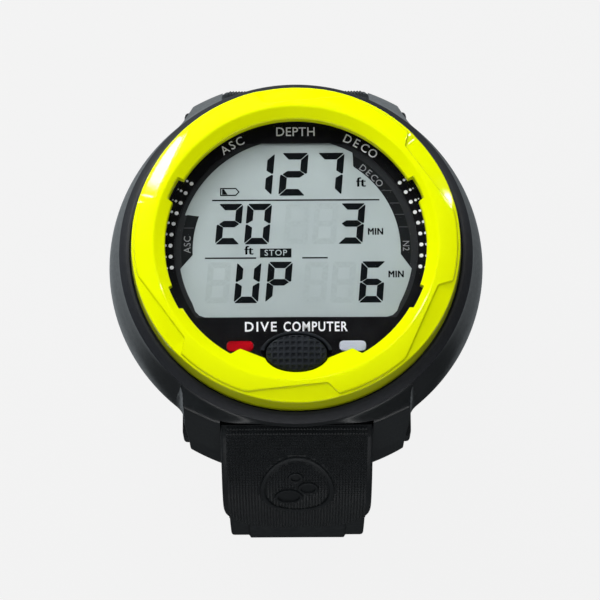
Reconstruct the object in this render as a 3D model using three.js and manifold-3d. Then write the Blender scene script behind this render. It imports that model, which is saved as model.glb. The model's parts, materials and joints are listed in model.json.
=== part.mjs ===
// A wrist dive computer: a round head with a yellow bezel, a display module, a battery hatch in its back,
// and a two-part rubber strap that hangs from two spring bars and curves round into a wrist loop.
//
// Millimetres. X points to 3 o'clock, Y to 12 o'clock and Z out of the face. Inside this file heights are
// measured from the dial face, and the finished group is raised so that the case back lies at z = 0.

import * as THREE from 'three';
import { mergeVertices } from 'three/addons/utils/BufferGeometryUtils.js';
import Module from 'manifold-3d';

// ---------------------------------------------------------------- driving dimensions

const DIAL_HEIGHT = 22;            // dial face above the case back
const GAP = 0.3;                   // clearance left between pieces that touch
const BACK = -DIAL_HEIGHT;         // case back plane
const ROUND = 32;                  // facets of a large circle
const HALF_ROUND = 13;             // facets of a long arc, such as half of a chorded circle
const SMALL_ROUND = 12;            // facets of a small circle

// Head
const RIM_OUTER = 35.2;            // flat rim of the case that frames the bezel
const RIM_INNER = 33.3;
const RIM_TOP = -0.3;
const BELLY = 38.05;               // widest radius of the case: 76.1 mm across
const SPLIT = -16;                 // parting plane between front and rear case
const LUG_HALF_WIDTH = 22.6;
const LUG_SHOULDER = -10;          // below this height the lugs' outer sides lean in
const LUG_LEAN = 0.2;              // radians
const LUG_TIP_RADIUS = 42.5;
const LUG_TIP = -18.3;
const SLOT_HALF_WIDTH = 15.55;     // strap slot between the lugs
const SLOT_WALL = 28.4;            // |y| of the slot's inner wall
const SLOT_ROOF = -2.8;
const MODULE_RADIUS = 26.6;        // round display module
const CAVITY_RADIUS = 33;
const CAVITY_HALF_LENGTH = 26.6;

// Bezel and lens
const BEZEL_OUTER = 33.0;
const BEZEL_TOP = 6;
const LIP_RADIUS = 26;
const LIP_UNDER = 2.9;
const LENS_RADIUS = 29.2;
const LENS_TOP = 2.6;

// Push button below the display
const BUTTON_Y = -22.4;
const BUTTON_HALF_LENGTH = 6.2;
const BUTTON_HALF_HEIGHT = 3.85;
const BUTTON_TOP = 4.7;
const STEM_RADIUS = 1.2;

// Battery hatch
const CELL_RADIUS = 12.25;
const HATCH_WINDOW = 13.2;
const HATCH_OPENING = 17;

// Strap
const BAR_Y = 33;
const BAR_Z = -11;
const BAR_RADIUS = 0.9;
const BARREL_RADIUS = 3.7;
const BORE_RADIUS = 1.2;
const STRAP_THICKNESS = 3.4;
const PAD_WIDTH = 30.2;
const BAND_WIDTH = 27.6;
const RIB_WIDTH = 20;
const PAD_PROUD = 0.5;
const BAND_RECESS = 0.6;
const HOLE_COUNT = 8;
const HOLE_PITCH = 6.5;

// The strap's outer line, seen from the side: a start, a first slope, then stretches that turn evenly
// to the next slope. Slope 0 faces the sky, 90 faces outwards and 180 faces the ground.
const LONG_LINE = {
    side: -1, start: [-35.4, -3.9], slope: 38,
    stretches: [
        { to: 70, length: 17 }, { to: 83, length: 7.7 }, { to: 90, length: 24 },
        { to: 180, length: 47.12 }, { to: 180, length: 28.5 }, { to: 198.5, length: 11.2 },
    ],
};
const SHORT_LINE = {
    side: 1, start: [35.2, -3.8], slope: 68,
    stretches: [{ to: 72, length: 16 }, { to: 90, length: 26 }, { to: 126.5, length: 22.07 }],
};
const BEND_RADIUS = 34.65;         // of the short half's lower bend, which the buckle and keepers follow
const BUCKLE_ANGLE = 36.5;         // pin's place round that bend, below its highest point

const palette = {
    yellow: { color: 0xf0f000, roughness: 0.35 },
    shell: { color: 0x2b2f32, roughness: 0.6 },
    rubber: { color: 0x1c1f21, roughness: 0.75 },
    lens: { color: 0xdfe8ea, roughness: 0.05, transparent: true, opacity: 0.25 },
    dial: { color: 0x0d0e10, roughness: 0.3 },
    lcd: { color: 0xa5afb0, roughness: 0.4 },
    frame: { color: 0xd8dad6, roughness: 0.5 },
    red: { color: 0xc4101c, roughness: 0.3 },
    white: { color: 0xe8ecf2, roughness: 0.3 },
    board: { color: 0x0f5a34, roughness: 0.5 },
    chip: { color: 0x17181a, roughness: 0.5 },
    steel: { color: 0xb9bcc0, roughness: 0.3, metalness: 1 },
    brass: { color: 0xc9a44a, roughness: 0.3, metalness: 1 },
};

const computer = new THREE.Group();
computer.position.z = DIAL_HEIGHT;

function addPart(name, geometry, finish) {
    const mesh = new THREE.Mesh(geometry, new THREE.MeshStandardMaterial(palette[finish]));
    mesh.name = name;
    computer.add(mesh);
}

// ---------------------------------------------------------------- solids and how they join

const wasm = await Module();
wasm.setup();

function toSolid(geometry) {
    const bare = geometry.index ? geometry.toNonIndexed() : geometry.clone();
    bare.deleteAttribute('normal');
    bare.deleteAttribute('uv');
    const merged = mergeVertices(bare, 1e-4);
    const corners = merged.getAttribute('position').array;
    const index = merged.index.array;
    const triangles = [];
    let volume = 0;
    const [a, b, c] = [new THREE.Vector3(), new THREE.Vector3(), new THREE.Vector3()];
    for (let i = 0; i < index.length; i += 3) {
        const [p, q, r] = [index[i], index[i + 1], index[i + 2]];
        if (p === q || q === r || r === p) continue;
        triangles.push([p, q, r]);
        a.fromArray(corners, 3 * p);
        b.fromArray(corners, 3 * q);
        c.fromArray(corners, 3 * r);
        volume += a.dot(b.cross(c));
    }
    if (volume < 0) triangles.forEach((triangle) => triangle.reverse());
    return new wasm.Manifold(new wasm.Mesh({
        numProp: 3,
        vertProperties: new Float32Array(corners),
        triVerts: new Uint32Array(triangles.flat()),
    }));
}

function toGeometry(solid) {
    const mesh = solid.getMesh();
    const geometry = new THREE.BufferGeometry();
    geometry.setAttribute('position', new THREE.BufferAttribute(new Float32Array(mesh.vertProperties), 3));
    geometry.setIndex(new THREE.BufferAttribute(new Uint32Array(mesh.triVerts), 1));
    geometry.computeVertexNormals();
    return geometry;
}

function cut(solid, ...tools) {
    return tools.reduce((left, tool) => left.subtract(tool), solid);
}

function join(solid, ...others) {
    return others.reduce((sum, other) => sum.add(other), solid);
}

// ---------------------------------------------------------------- basic shapes

// A turned piece about the Z axis from [radius, height] corners; a ring's outline closes on itself.
function turned(outline, facets = ROUND) {
    const onAxis = outline[0][0] === 0;
    const points = (onAxis ? outline : [...outline, outline[0]]).map(([r, z]) => new THREE.Vector2(r, z));
    return toSolid(new THREE.LatheGeometry(points, facets).rotateX(Math.PI / 2));
}

function ring(inner, outer, low, high, facets = ROUND) {
    return turned([[inner, low], [outer, low], [outer, high], [inner, high]], facets);
}

function disc(radius, low, high, facets = ROUND) {
    return turned([[0, low], [radius, low], [radius, high], [0, high]], facets);
}

// A flat outline in the dial plane, between two heights.
function plate(shape, low, high, curveSegments = 5) {
    const flat = new THREE.ExtrudeGeometry(shape, { depth: high - low, bevelEnabled: false, curveSegments });
    return toSolid(flat.translate(0, 0, low));
}

// An outline in the side view (y, z), between -halfWidth and +halfWidth along X.
function sideways(outline, halfWidth) {
    const shape = new THREE.Shape(outline.map(([y, z]) => new THREE.Vector2(y, z)));
    const flat = new THREE.ExtrudeGeometry(shape, { depth: 2 * halfWidth, bevelEnabled: false });
    flat.translate(0, 0, -halfWidth);
    flat.applyMatrix4(new THREE.Matrix4().set(0, 0, 1, 0, 1, 0, 0, 0, 0, 1, 0, 0, 0, 0, 0, 1));
    return toSolid(flat);
}

function block(x0, x1, y0, y1, z0, z1) {
    const box = new THREE.BoxGeometry(x1 - x0, y1 - y0, z1 - z0);
    return toSolid(box.translate((x0 + x1) / 2, (y0 + y1) / 2, (z0 + z1) / 2));
}

function torus(major, minor, z, facets = ROUND, sides = 6) {
    const section = [];
    for (let i = 0; i < sides; i++) {
        const angle = (2 * Math.PI * i) / sides;
        section.push([major + minor * Math.cos(angle), z + minor * Math.sin(angle)]);
    }
    return turned(section, facets);
}

function roundedBox(halfX, halfY, radius) {
    const shape = new THREE.Shape();
    shape.moveTo(-halfX + radius, -halfY);
    shape.lineTo(halfX - radius, -halfY);
    shape.absarc(halfX - radius, -halfY + radius, radius, -Math.PI / 2, 0);
    shape.lineTo(halfX, halfY - radius);
    shape.absarc(halfX - radius, halfY - radius, radius, 0, Math.PI / 2);
    shape.lineTo(-halfX + radius, halfY);
    shape.absarc(-halfX + radius, halfY - radius, radius, Math.PI / 2, Math.PI);
    shape.lineTo(-halfX, -halfY + radius);
    shape.absarc(-halfX + radius, -halfY + radius, radius, Math.PI, 1.5 * Math.PI);
    return shape;
}

// A circle cut off by straight chords below and above.
function chordedCircle(radius, low, high) {
    const shape = new THREE.Shape();
    const [start, end] = [Math.asin(low / radius), Math.asin(high / radius)];
    shape.absarc(0, 0, radius, start, end);
    shape.absarc(0, 0, radius, Math.PI - end, Math.PI - start);
    return shape;
}

// A rod along X through (y, z).
function crossRod(radius, halfLength, y, z, facets = SMALL_ROUND) {
    const rod = new THREE.CylinderGeometry(radius, radius, 2 * halfLength, facets);
    return toSolid(rod.rotateZ(Math.PI / 2).translate(0, y, z));
}

function post(radius, x, y, low, high, facets = SMALL_ROUND) {
    return disc(radius, low, high, facets).translate([x, y, 0]);
}

// ---------------------------------------------------------------- head: case, bezel and lens

const SCREW_X = 18.9;
const SCREW_Y = 29.4;
const screwPlaces = [[-SCREW_X, -SCREW_Y], [SCREW_X, -SCREW_Y], [SCREW_X, SCREW_Y], [-SCREW_X, SCREW_Y]];
const SENSOR_X = 24.5;
const CONTACT_X = -24.5;
const CONTACT_PITCH = 4;

// Outline of both lugs from above: straight sides that flare into the round case by a hollow curve.
function lugOutline() {
    const flare = 5;
    const flareY = Math.sqrt((BELLY + flare) ** 2 - (LUG_HALF_WIDTH + flare) ** 2);
    const reach = LUG_TIP_RADIUS + 2;
    const outward = Math.atan2(flareY, LUG_HALF_WIDTH + flare);
    const shape = new THREE.Shape();
    shape.moveTo(0, -reach);
    shape.lineTo(LUG_HALF_WIDTH, -reach);
    shape.absarc(LUG_HALF_WIDTH + flare, -flareY, flare, Math.PI, Math.PI - outward, true);
    shape.absarc(LUG_HALF_WIDTH + flare, flareY, flare, Math.PI + outward, Math.PI, true);
    shape.lineTo(LUG_HALF_WIDTH, reach);
    shape.lineTo(-LUG_HALF_WIDTH, reach);
    shape.absarc(-LUG_HALF_WIDTH - flare, flareY, flare, 0, -outward, true);
    shape.absarc(-LUG_HALF_WIDTH - flare, -flareY, flare, outward, 0, true);
    shape.lineTo(-LUG_HALF_WIDTH, -reach);
    return shape;
}

// The rear case's outline: a circle, cut just short of 12 and 6 o'clock, with four blunt corners under the lugs.
function rearOutline(radius, halfX, halfY) {
    const chord = radius * 0.999;
    return [chordedCircle(radius, -chord, chord), roundedBox(halfX, halfY, 2)];
}

// A wedge that takes off a lug's outer side below its shoulder, so that the side leans in to the tip.
function lugLean(side) {
    const wedge = new THREE.BoxGeometry(8, 100, 20).translate(side * 4, 0, -10);
    wedge.rotateY(side * LUG_LEAN).translate(side * LUG_HALF_WIDTH, 0, LUG_SHOULDER);
    return toSolid(wedge);
}

function frontCase() {
    const bowl = turned([
        [27.2, SPLIT], [36.2, SPLIT], [37.4, -14.5], [BELLY, -12.2], [BELLY, -10.5], [37.5, -7.2],
        [36.5, -4.1], [RIM_OUTER, -1.1], [35.0, -0.55], [34.5, RIM_TOP], [RIM_INNER, RIM_TOP],
        [RIM_INNER, -1.2], [27.2, -1.2],
    ]);
    const cone = turned([
        [30, LUG_TIP], [LUG_TIP_RADIUS, LUG_TIP], [RIM_OUTER, -1.1], [30, -1.1],
    ]);
    const lugs = cut(cone.intersect(plate(lugOutline(), LUG_TIP - 1, 0)), lugLean(1), lugLean(-1));
    const underLugs = plate(roundedBox(30, 35, 2), LUG_TIP - 1, SPLIT);
    const cavity = plate(chordedCircle(CAVITY_RADIUS, -CAVITY_HALF_LENGTH, CAVITY_HALF_LENGTH), SPLIT - 1, -3, HALF_ROUND);
    const wells = [];
    for (const side of [-1, 1]) {
        const [near, far] = [side * SLOT_WALL, side * (LUG_TIP_RADIUS + 5)];
        wells.push(block(-SLOT_HALF_WIDTH, SLOT_HALF_WIDTH, Math.min(near, far), Math.max(near, far),
            LUG_TIP - 1, SLOT_ROOF));
        wells.push(crossRod(0.85, SLOT_HALF_WIDTH + 2.3, side * BAR_Y, BAR_Z, 16));
    }
    const screwHoles = screwPlaces.map(([x, y]) => post(1.4, x, y, SPLIT - 1, -8.5, 12));
    return cut(join(bowl, cut(lugs, underLugs)), cavity, disc(27.2, SPLIT - 1, 1), ...wells, ...screwHoles);
}

function rearCase() {
    const [circle, corners] = rearOutline(36.2, 23.1, 34.6);
    const [innerCircle, innerCorners] = rearOutline(31.3, 15, 26);
    const shell = join(plate(circle, BACK, SPLIT - GAP, HALF_ROUND), plate(corners, BACK, SPLIT - GAP));
    const hollow = plate(innerCircle, BACK + 2, SPLIT, HALF_ROUND).intersect(plate(roundedBox(40, 26, 1), BACK, SPLIT));
    const slots = [-1, 1].map((side) => block(-SLOT_HALF_WIDTH - 0.4, SLOT_HALF_WIDTH + 0.4,
        Math.min(side * 30.8, side * 40), Math.max(side * 30.8, side * 40), BACK - 1, SPLIT + 1));
    const cup = turned([
        [0, -13.3], [13.6, -13.3], [13.6, -17.3], [15.9, -17.3], [15.9, -19.6], [18.6, -21], [18.6, -16.5],
        [15.2, -12.2], [0, -12.2],
    ]);
    const opening = turned([
        [0, BACK - 1], [HATCH_OPENING, BACK - 1], [HATCH_OPENING, -19.6], [15.9, -19.6], [15.9, -17.3],
        [13.6, -17.3], [13.6, -13.3], [0, -13.3],
    ]);
    const holes = [post(2.2, SENSOR_X, 0, BACK - 1, -19), post(3.5, SENSOR_X, 0, BACK - 1, BACK + 1.1)];
    for (const [x, y] of screwPlaces) {
        holes.push(post(1.4, x, y, BACK - 1, SPLIT, 12), post(2.5, x, y, BACK - 1, BACK + 2.7));
    }
    for (const step of [-1, 0, 1]) holes.push(post(1.3, CONTACT_X, step * CONTACT_PITCH, BACK - 1, -19));
    const gasketSeat = cut(
        plate(chordedCircle(35.2, -28.2, 28.2), SPLIT - 1.4, SPLIT, HALF_ROUND),
        plate(chordedCircle(33.2, -26.9, 26.9), SPLIT - 2, SPLIT + 1, HALF_ROUND),
    );
    return cut(join(cut(shell, hollow), cup), opening, gasketSeat, ...slots, ...holes);
}

function caseGasket() {
    return cut(
        plate(chordedCircle(34.9, -27.9, 27.9), SPLIT - 1.1, SPLIT - 0.1, HALF_ROUND),
        plate(chordedCircle(33.5, -27.2, 27.2), SPLIT - 2, SPLIT + 1, HALF_ROUND),
    );
}

// The button's outline seen from the front, grown by a margin.
function buttonOutline(margin) {
    const shape = new THREE.Shape();
    shape.absellipse(0, BUTTON_Y, BUTTON_HALF_LENGTH + margin, BUTTON_HALF_HEIGHT + margin, 0, 2 * Math.PI);
    return shape;
}

// A sector of the bezel's lip, from one angle to another (degrees from 3 o'clock) and between two radii.
function sector(from, to, inner, outer, low, high) {
    const [a, b] = [from, to].map(THREE.MathUtils.degToRad);
    const shape = new THREE.Shape();
    shape.absarc(0, 0, outer, a, b);
    shape.absarc(0, 0, inner, b, a, true);
    return plate(shape, low, high, 6);
}

function bezel() {
    const body = turned([
        [29.6, -0.9], [BEZEL_OUTER, -0.9], [BEZEL_OUTER, 3.0], [32.8, 4.4], [32.3, 5.1], [31.4, 5.45],
        [28.3, BEZEL_TOP], [LIP_RADIUS, 4.4], [LIP_RADIUS, LIP_UNDER], [29.6, LIP_UNDER],
    ]);
    const tongues = [];
    const notches = [];
    for (const side of [-1, 1]) {
        const [near, far] = [-90 + side * 13.5, -90 + side * 29];
        tongues.push(sector(Math.min(near, far), Math.max(near, far), 24.2, 26.3, LIP_UNDER, 3.7));
        for (const centre of [155, -155]) {
            const angle = side < 0 ? centre : 180 - centre;
            notches.push(sector(angle - 5.5, angle + 5.5, 25, 27.1, 3.6, BEZEL_TOP + 1));
        }
    }
    return cut(join(body, ...tongues), plate(buttonOutline(0.8), 1, BEZEL_TOP + 1, SMALL_ROUND), ...notches);
}

addPart('case_front', toGeometry(frontCase()), 'shell');
addPart('case_rear', toGeometry(rearCase()), 'shell');
addPart('case_gasket', toGeometry(caseGasket()), 'rubber');
addPart('bezel_ring', toGeometry(bezel()), 'yellow');
addPart('lens', toGeometry(cut(disc(LENS_RADIUS, GAP, LENS_TOP), plate(buttonOutline(0.4), -1, 4, SMALL_ROUND))), 'lens');
addPart('lens_gasket', toGeometry(ring(27.5, 29, -0.9, 0)), 'rubber');

function caseScrew(x, y) {
    const turnedScrew = turned([
        [0, -9.2], [0.6, -9.2], [1.1, -9.9], [1.1, -19.6], [2.2, -19.6], [2.2, -21.4], [0, -21.4],
    ], SMALL_ROUND);
    const hex = post(1.1, 0, 0, -22, -20.4, 6);
    return cut(turnedScrew, hex).translate([x, y, 0]);
}
screwPlaces.forEach(([x, y], i) => addPart(`case_screw_${i + 1}`, toGeometry(caseScrew(x, y)), 'steel'));

// ---------------------------------------------------------------- display module

const LIGHT_X = 11.15;
const LIGHT_Y = -20.0;
const LCD_LOW_EDGE = -15.8;

function lightOutline(side, margin) {
    const shape = roundedBox(2.65 + margin, 1.05 + margin, 1 + margin);
    const points = shape.getPoints(4).map((p) => p.add(new THREE.Vector2(side * LIGHT_X, LIGHT_Y)));
    return new THREE.Shape(points);
}

function dialMask() {
    const window = chordedCircle(24.4, -14.2, 22.3);
    const pills = [-1, 1].map((side) => plate(lightOutline(side, 0.25), -1, 1));
    return cut(disc(26.9, -0.3, 0), plate(window, -1, 1, HALF_ROUND), post(3.6, 0, BUTTON_Y, -1, 1), ...pills);
}

function moduleFrame() {
    const pocket = plate(chordedCircle(25.5, LCD_LOW_EDGE - GAP, 25.45), -6, 0, HALF_ROUND);
    const pipes = [-1, 1].map((side) => plate(lightOutline(side, 0.3), -6, 0));
    return cut(disc(MODULE_RADIUS, -5.7, -0.6), pocket, post(3.5, 0, BUTTON_Y, -6, 0), ...pipes);
}

addPart('dial_mask', toGeometry(dialMask()), 'dial');
addPart('module_frame', toGeometry(moduleFrame()), 'frame');
addPart('lcd_panel', toGeometry(plate(chordedCircle(25.2, LCD_LOW_EDGE, 25.15), -2.1, -0.6, HALF_ROUND)), 'lcd');
addPart('lcd_backlight', toGeometry(plate(chordedCircle(25.0, -11.5, 24.9), -3.9, -2.4, HALF_ROUND)), 'frame');
addPart('lcd_connector', toGeometry(block(-17, 17, -15.2, -13.2, -5.7, -2.4)), 'rubber');
addPart('circuit_board', toGeometry(plate(chordedCircle(31, -25.6, 25.6), -7, -6, HALF_ROUND)), 'board');
addPart('processor_chip', toGeometry(block(-12.5, -3.5, 1.5, 10.5, -8.6, -7.3)), 'chip');
addPart('memory_chip', toGeometry(block(4, 9.5, 4, 8, -8.3, -7.3)), 'chip');
addPart('clock_crystal', toGeometry(block(3.5, 9.5, -3, -1, -8.9, -7.3)), 'steel');
addPart('buzzer_disc', toGeometry(post(7.2, -14.5, -12, -8.3, -7.3, 36)), 'brass');
addPart('power_capacitor', toGeometry(post(2.2, 15, -12, -11.5, -7.3)), 'chip');

for (const [side, name, finish] of [[-1, 'alarm', 'red'], [1, 'status', 'white']]) {
    addPart(`${name}_light_pipe`, toGeometry(plate(lightOutline(side, 0), -4.9, -0.05)), finish);
    const x = side * LIGHT_X;
    addPart(`${name}_led`, toGeometry(block(x - 1.1, x + 1.1, LIGHT_Y - 0.8, LIGHT_Y + 0.8, -5.7, -5.2)), 'white');
}

// ---------------------------------------------------------------- push button

function buttonCap() {
    const skirt = plate(buttonOutline(-0.15), 1.3, BUTTON_TOP - 0.5, SMALL_ROUND);
    const crown = plate(buttonOutline(-0.7), 1.3, BUTTON_TOP, SMALL_ROUND);
    return cut(join(skirt, crown), post(3.1, 0, BUTTON_Y, 1, 3.2));
}

// The return spring: a steel wire wound in a helix round the stem.
class Coil extends THREE.Curve {
    getPoint(t) {
        const [turns, radius, low, high] = [3, 2.35, 0.75, 2.6];
        const angle = 2 * Math.PI * turns * t;
        return new THREE.Vector3(radius * Math.cos(angle), radius * Math.sin(angle), low + (high - low) * t);
    }
}

function buttonSpring() {
    const wire = new THREE.Shape().absarc(0, 0, 0.22, 0, 2 * Math.PI);
    const coil = new THREE.ExtrudeGeometry(wire, { steps: 36, curveSegments: 3, extrudePath: new Coil() });
    return toSolid(coil).translate([0, BUTTON_Y, 0]);
}

function atButton(solid) {
    return solid.translate([0, BUTTON_Y, 0]);
}

addPart('button_cap', toGeometry(buttonCap()), 'rubber');
addPart('button_stem', toGeometry(post(STEM_RADIUS, 0, BUTTON_Y, -3.9, 2.9)), 'steel');
addPart('button_clip', toGeometry(atButton(ring(1.5, 2.4, -3.85, -3.45, SMALL_ROUND))), 'steel');
addPart('button_spring', toGeometry(buttonSpring()), 'steel');
addPart('button_gland', toGeometry(atButton(turned([
    [1.5, -3.1], [3.2, -3.1], [3.2, 0.2], [1.5, 0.2], [1.5, -1.0], [2.5, -1.0], [2.5, -2.2], [1.5, -2.2],
], SMALL_ROUND))), 'frame');
addPart('button_o_ring', toGeometry(atButton(torus(1.85, 0.35, -1.6, SMALL_ROUND))), 'rubber');
addPart('button_switch', toGeometry(block(-1.6, 1.6, BUTTON_Y - 1.6, BUTTON_Y + 1.6, -5.7, -4.9)), 'chip');

// ---------------------------------------------------------------- sensor, contacts and battery hatch

function sensorCover() {
    const holes = [0, 1, 2, 3, 4].map((i) => {
        const angle = (2 * Math.PI * i) / 5;
        return post(0.4, SENSOR_X + 1.5 * Math.cos(angle), 1.5 * Math.sin(angle), BACK - 1, BACK + 2, 12);
    });
    return cut(post(3.2, SENSOR_X, 0, BACK + 0.1, BACK + 0.8), ...holes);
}

function atSensor(solid) {
    return solid.translate([SENSOR_X, 0, 0]);
}

addPart('pressure_sensor', toGeometry(atSensor(turned([
    [0, -18.9], [1.7, -18.9], [1.7, -17.6], [3.4, -17.6], [3.4, -14.8], [0, -14.8],
], SMALL_ROUND))), 'steel');
addPart('sensor_o_ring', toGeometry(atSensor(torus(2.7, 0.5, -18.6, SMALL_ROUND))), 'rubber');
addPart('sensor_cover', toGeometry(sensorCover()), 'steel');
for (const step of [-1, 0, 1]) {
    const pin = post(1.0, CONTACT_X, step * CONTACT_PITCH, BACK + 0.15, -18.5, 16);
    addPart(`data_contact_${step + 2}`, toGeometry(pin), 'brass');
}

// The hatch lid rests under the cell, and the ring round it turns to lock the lid in the case back.
function hatchLid() {
    return turned([
        [0, BACK], [12.9, BACK], [12.9, -19.9], [15.6, -19.9], [15.6, -18.9], [13.0, -18.9], [13.0, -17.9],
        [0, -17.9],
    ]);
}

function hatchRing() {
    const gripDepth = 1.1;
    const gripMiddle = 15.1;
    const grips = [-1, 1].map((side) => plate(roundedBox(3.2, 0.9, 0.8), BACK - 1, BACK + gripDepth)
        .translate([0, side * gripMiddle, 0]));
    return cut(ring(HATCH_WINDOW, HATCH_OPENING - GAP, BACK, -20.2), ...grips);
}

function negativeContact() {
    const arch = [[-7, -13.8], [-3, -14.25], [3, -14.25], [7, -13.8], [7, -13.6], [3, -14.0], [-3, -14.0], [-7, -13.6]];
    return sideways(arch, 2);
}

addPart('battery_cell', toGeometry(turned([
    [0, -17.6], [CELL_RADIUS - 0.9, -17.6], [CELL_RADIUS, -17.2], [CELL_RADIUS, -14.9], [CELL_RADIUS - 0.4, -14.6],
    [0, -14.6],
])), 'steel');
addPart('battery_contact_negative', toGeometry(negativeContact()), 'brass');
addPart('battery_contact_positive', toGeometry(block(12.6, 12.9, -2, 2, -17, -13.7)), 'brass');
addPart('hatch_lid', toGeometry(hatchLid()), 'shell');
addPart('hatch_o_ring', toGeometry(torus(14.4, 0.5, -18.1)), 'rubber');
addPart('hatch_ring', toGeometry(hatchRing()), 'shell');

// ---------------------------------------------------------------- strap

// Stations along a strap line: position, slope in radians and length so far.
function stations(line, step = 6) {
    let [y, z] = line.start;
    let slope = THREE.MathUtils.degToRad(line.slope);
    let length = 0;
    const list = [{ y, z, slope, length }];
    for (const stretch of line.stretches) {
        const turn = THREE.MathUtils.degToRad(stretch.to) - slope;
        const count = Math.max(1, Math.ceil(Math.abs(THREE.MathUtils.radToDeg(turn)) / step));
        for (let i = 0; i < count; i++) {
            const [piece, bend] = [stretch.length / count, turn / count];
            const chord = bend === 0 ? piece : (piece * Math.sin(bend / 2)) / (bend / 2);
            y += line.side * Math.cos(slope + bend / 2) * chord;
            z -= Math.sin(slope + bend / 2) * chord;
            slope += bend;
            length += piece;
            list.push({ y, z, slope, length });
        }
    }
    return list;
}

function between(list, from, to) {
    const place = (length) => {
        const i = Math.max(1, list.findIndex((s) => s.length >= length - 1e-6));
        const [a, b] = [list[i - 1], list[i]];
        const t = (length - a.length) / (b.length - a.length);
        return {
            y: a.y + (b.y - a.y) * t, z: a.z + (b.z - a.z) * t, slope: a.slope + (b.slope - a.slope) * t, length,
        };
    };
    const inside = list.filter((s) => s.length > from + 0.2 && s.length < to - 0.2);
    return [place(from), ...inside, place(to)];
}

// A station's point moved outwards from the loop by a distance.
function raised(station, side, distance) {
    return [
        station.y + side * Math.sin(station.slope) * distance,
        station.z + Math.cos(station.slope) * distance,
    ];
}

function layer(list, side, inner, outer, width) {
    const top = list.map((s) => raised(s, side, outer));
    const bottom = list.map((s) => raised(s, side, inner)).reverse();
    return sideways([...top, ...bottom], width / 2);
}

// The thick root that wraps the spring bar, under the pad's outer surface.
function strapRoot(list, side) {
    const skin = between(list, 0, 16).map((s) => raised(s, side, PAD_PROUD));
    const last = between(list, 0, 16).at(-1);
    const foot = raised(last, side, -STRAP_THICKNESS);
    const web = sideways([...skin, foot, [side * BAR_Y, BAR_Z - BARREL_RADIUS * 0.9], [side * (BAR_Y - 0.5), BAR_Z]],
        PAD_WIDTH / 2);
    return join(web, crossRod(BARREL_RADIUS, PAD_WIDTH / 2, side * BAR_Y, BAR_Z));
}

// The pad's lower end is a round tongue seen from the front.
function tongueOutline(tip, shoulder) {
    const half = PAD_WIDTH / 2;
    const rise = shoulder - tip;
    const radius = (half * half + rise * rise) / (2 * rise);
    const sweep = Math.asin(half / radius);
    const shape = new THREE.Shape();
    shape.moveTo(half, shoulder);
    shape.lineTo(half, 0);
    shape.lineTo(-half, 0);
    shape.lineTo(-half, shoulder);
    shape.absarc(0, tip + radius, radius, 1.5 * Math.PI - sweep, 1.5 * Math.PI + sweep);
    return shape;
}

function strapPad(list, side, to, tip, shoulder) {
    const full = layer(between(list, 0, to), side, -STRAP_THICKNESS + 0.4, PAD_PROUD, PAD_WIDTH);
    const cutter = new THREE.ExtrudeGeometry(tongueOutline(tip, shoulder), {
        depth: 60, bevelEnabled: false, curveSegments: 12,
    });
    cutter.rotateX(Math.PI / 2).translate(0, side > 0 ? 80 : -20, 0);
    return full.intersect(toSolid(cutter));
}

function adjustmentHoles(list) {
    const end = list.at(-1).length;
    const holes = [];
    for (let i = 0; i < HOLE_COUNT; i++) {
        const at = end - 12 - HOLE_PITCH * i;
        const [, station] = between(list, at - 0.1, at);
        const hole = new THREE.CylinderGeometry(1.25, 1.25, 12, 12).scale(1.5, 1, 1);
        hole.rotateX(Math.PI / 2 + station.slope);
        holes.push(toSolid(hole.translate(0, station.y, station.z)));
    }
    return holes;
}

function longStrap() {
    const list = stations(LONG_LINE);
    const end = list.at(-1).length;
    const band = layer(between(list, 15, end), -1, -STRAP_THICKNESS, -BAND_RECESS, BAND_WIDTH);
    const rib = layer(between(list, 30, end - 6), -1, -1.5, 0, RIB_WIDTH);
    const tipPlan = new THREE.Shape();
    tipPlan.moveTo(-16, -60);
    tipPlan.lineTo(16, -60);
    tipPlan.lineTo(16, 0);
    tipPlan.lineTo(BAND_WIDTH / 2, 10);
    tipPlan.absarc(BAND_WIDTH / 2 - 11, 10, 11, 0, Math.PI / 2);
    tipPlan.absarc(-BAND_WIDTH / 2 + 11, 10, 11, Math.PI / 2, Math.PI);
    tipPlan.lineTo(-16, 0);
    const whole = join(band, rib, strapPad(list, -1, 42, -41.5, -34), strapRoot(list, -1));
    const trimmed = whole.intersect(plate(tipPlan, -100, 10));
    return cut(trimmed, crossRod(BORE_RADIUS, 20, -BAR_Y, BAR_Z, 16), ...adjustmentHoles(list));
}

// Places round the short half's lower bend.
const BEND_CENTRE = (() => {
    const list = stations(SHORT_LINE);
    const top = list.find((s) => Math.abs(s.slope - Math.PI / 2) < 1e-6);
    return [top.y - BEND_RADIUS, top.z];
})();

function onBend(angle, distance) {
    const a = THREE.MathUtils.degToRad(angle);
    const radius = BEND_RADIUS + distance;
    return [BEND_CENTRE[0] + radius * Math.cos(a), BEND_CENTRE[1] - radius * Math.sin(a)];
}

function bendLayer(from, to, inner, outer, width) {
    const count = Math.max(2, Math.ceil((to - from) / 5));
    const angles = Array.from({ length: count + 1 }, (_, i) => from + ((to - from) * i) / count);
    const outline = [...angles.map((a) => onBend(a, outer)), ...angles.map((a) => onBend(a, inner)).reverse()];
    return sideways(outline, width / 2);
}

const [PIN_Y, PIN_Z] = onBend(BUCKLE_ANGLE, -STRAP_THICKNESS / 2);

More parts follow.
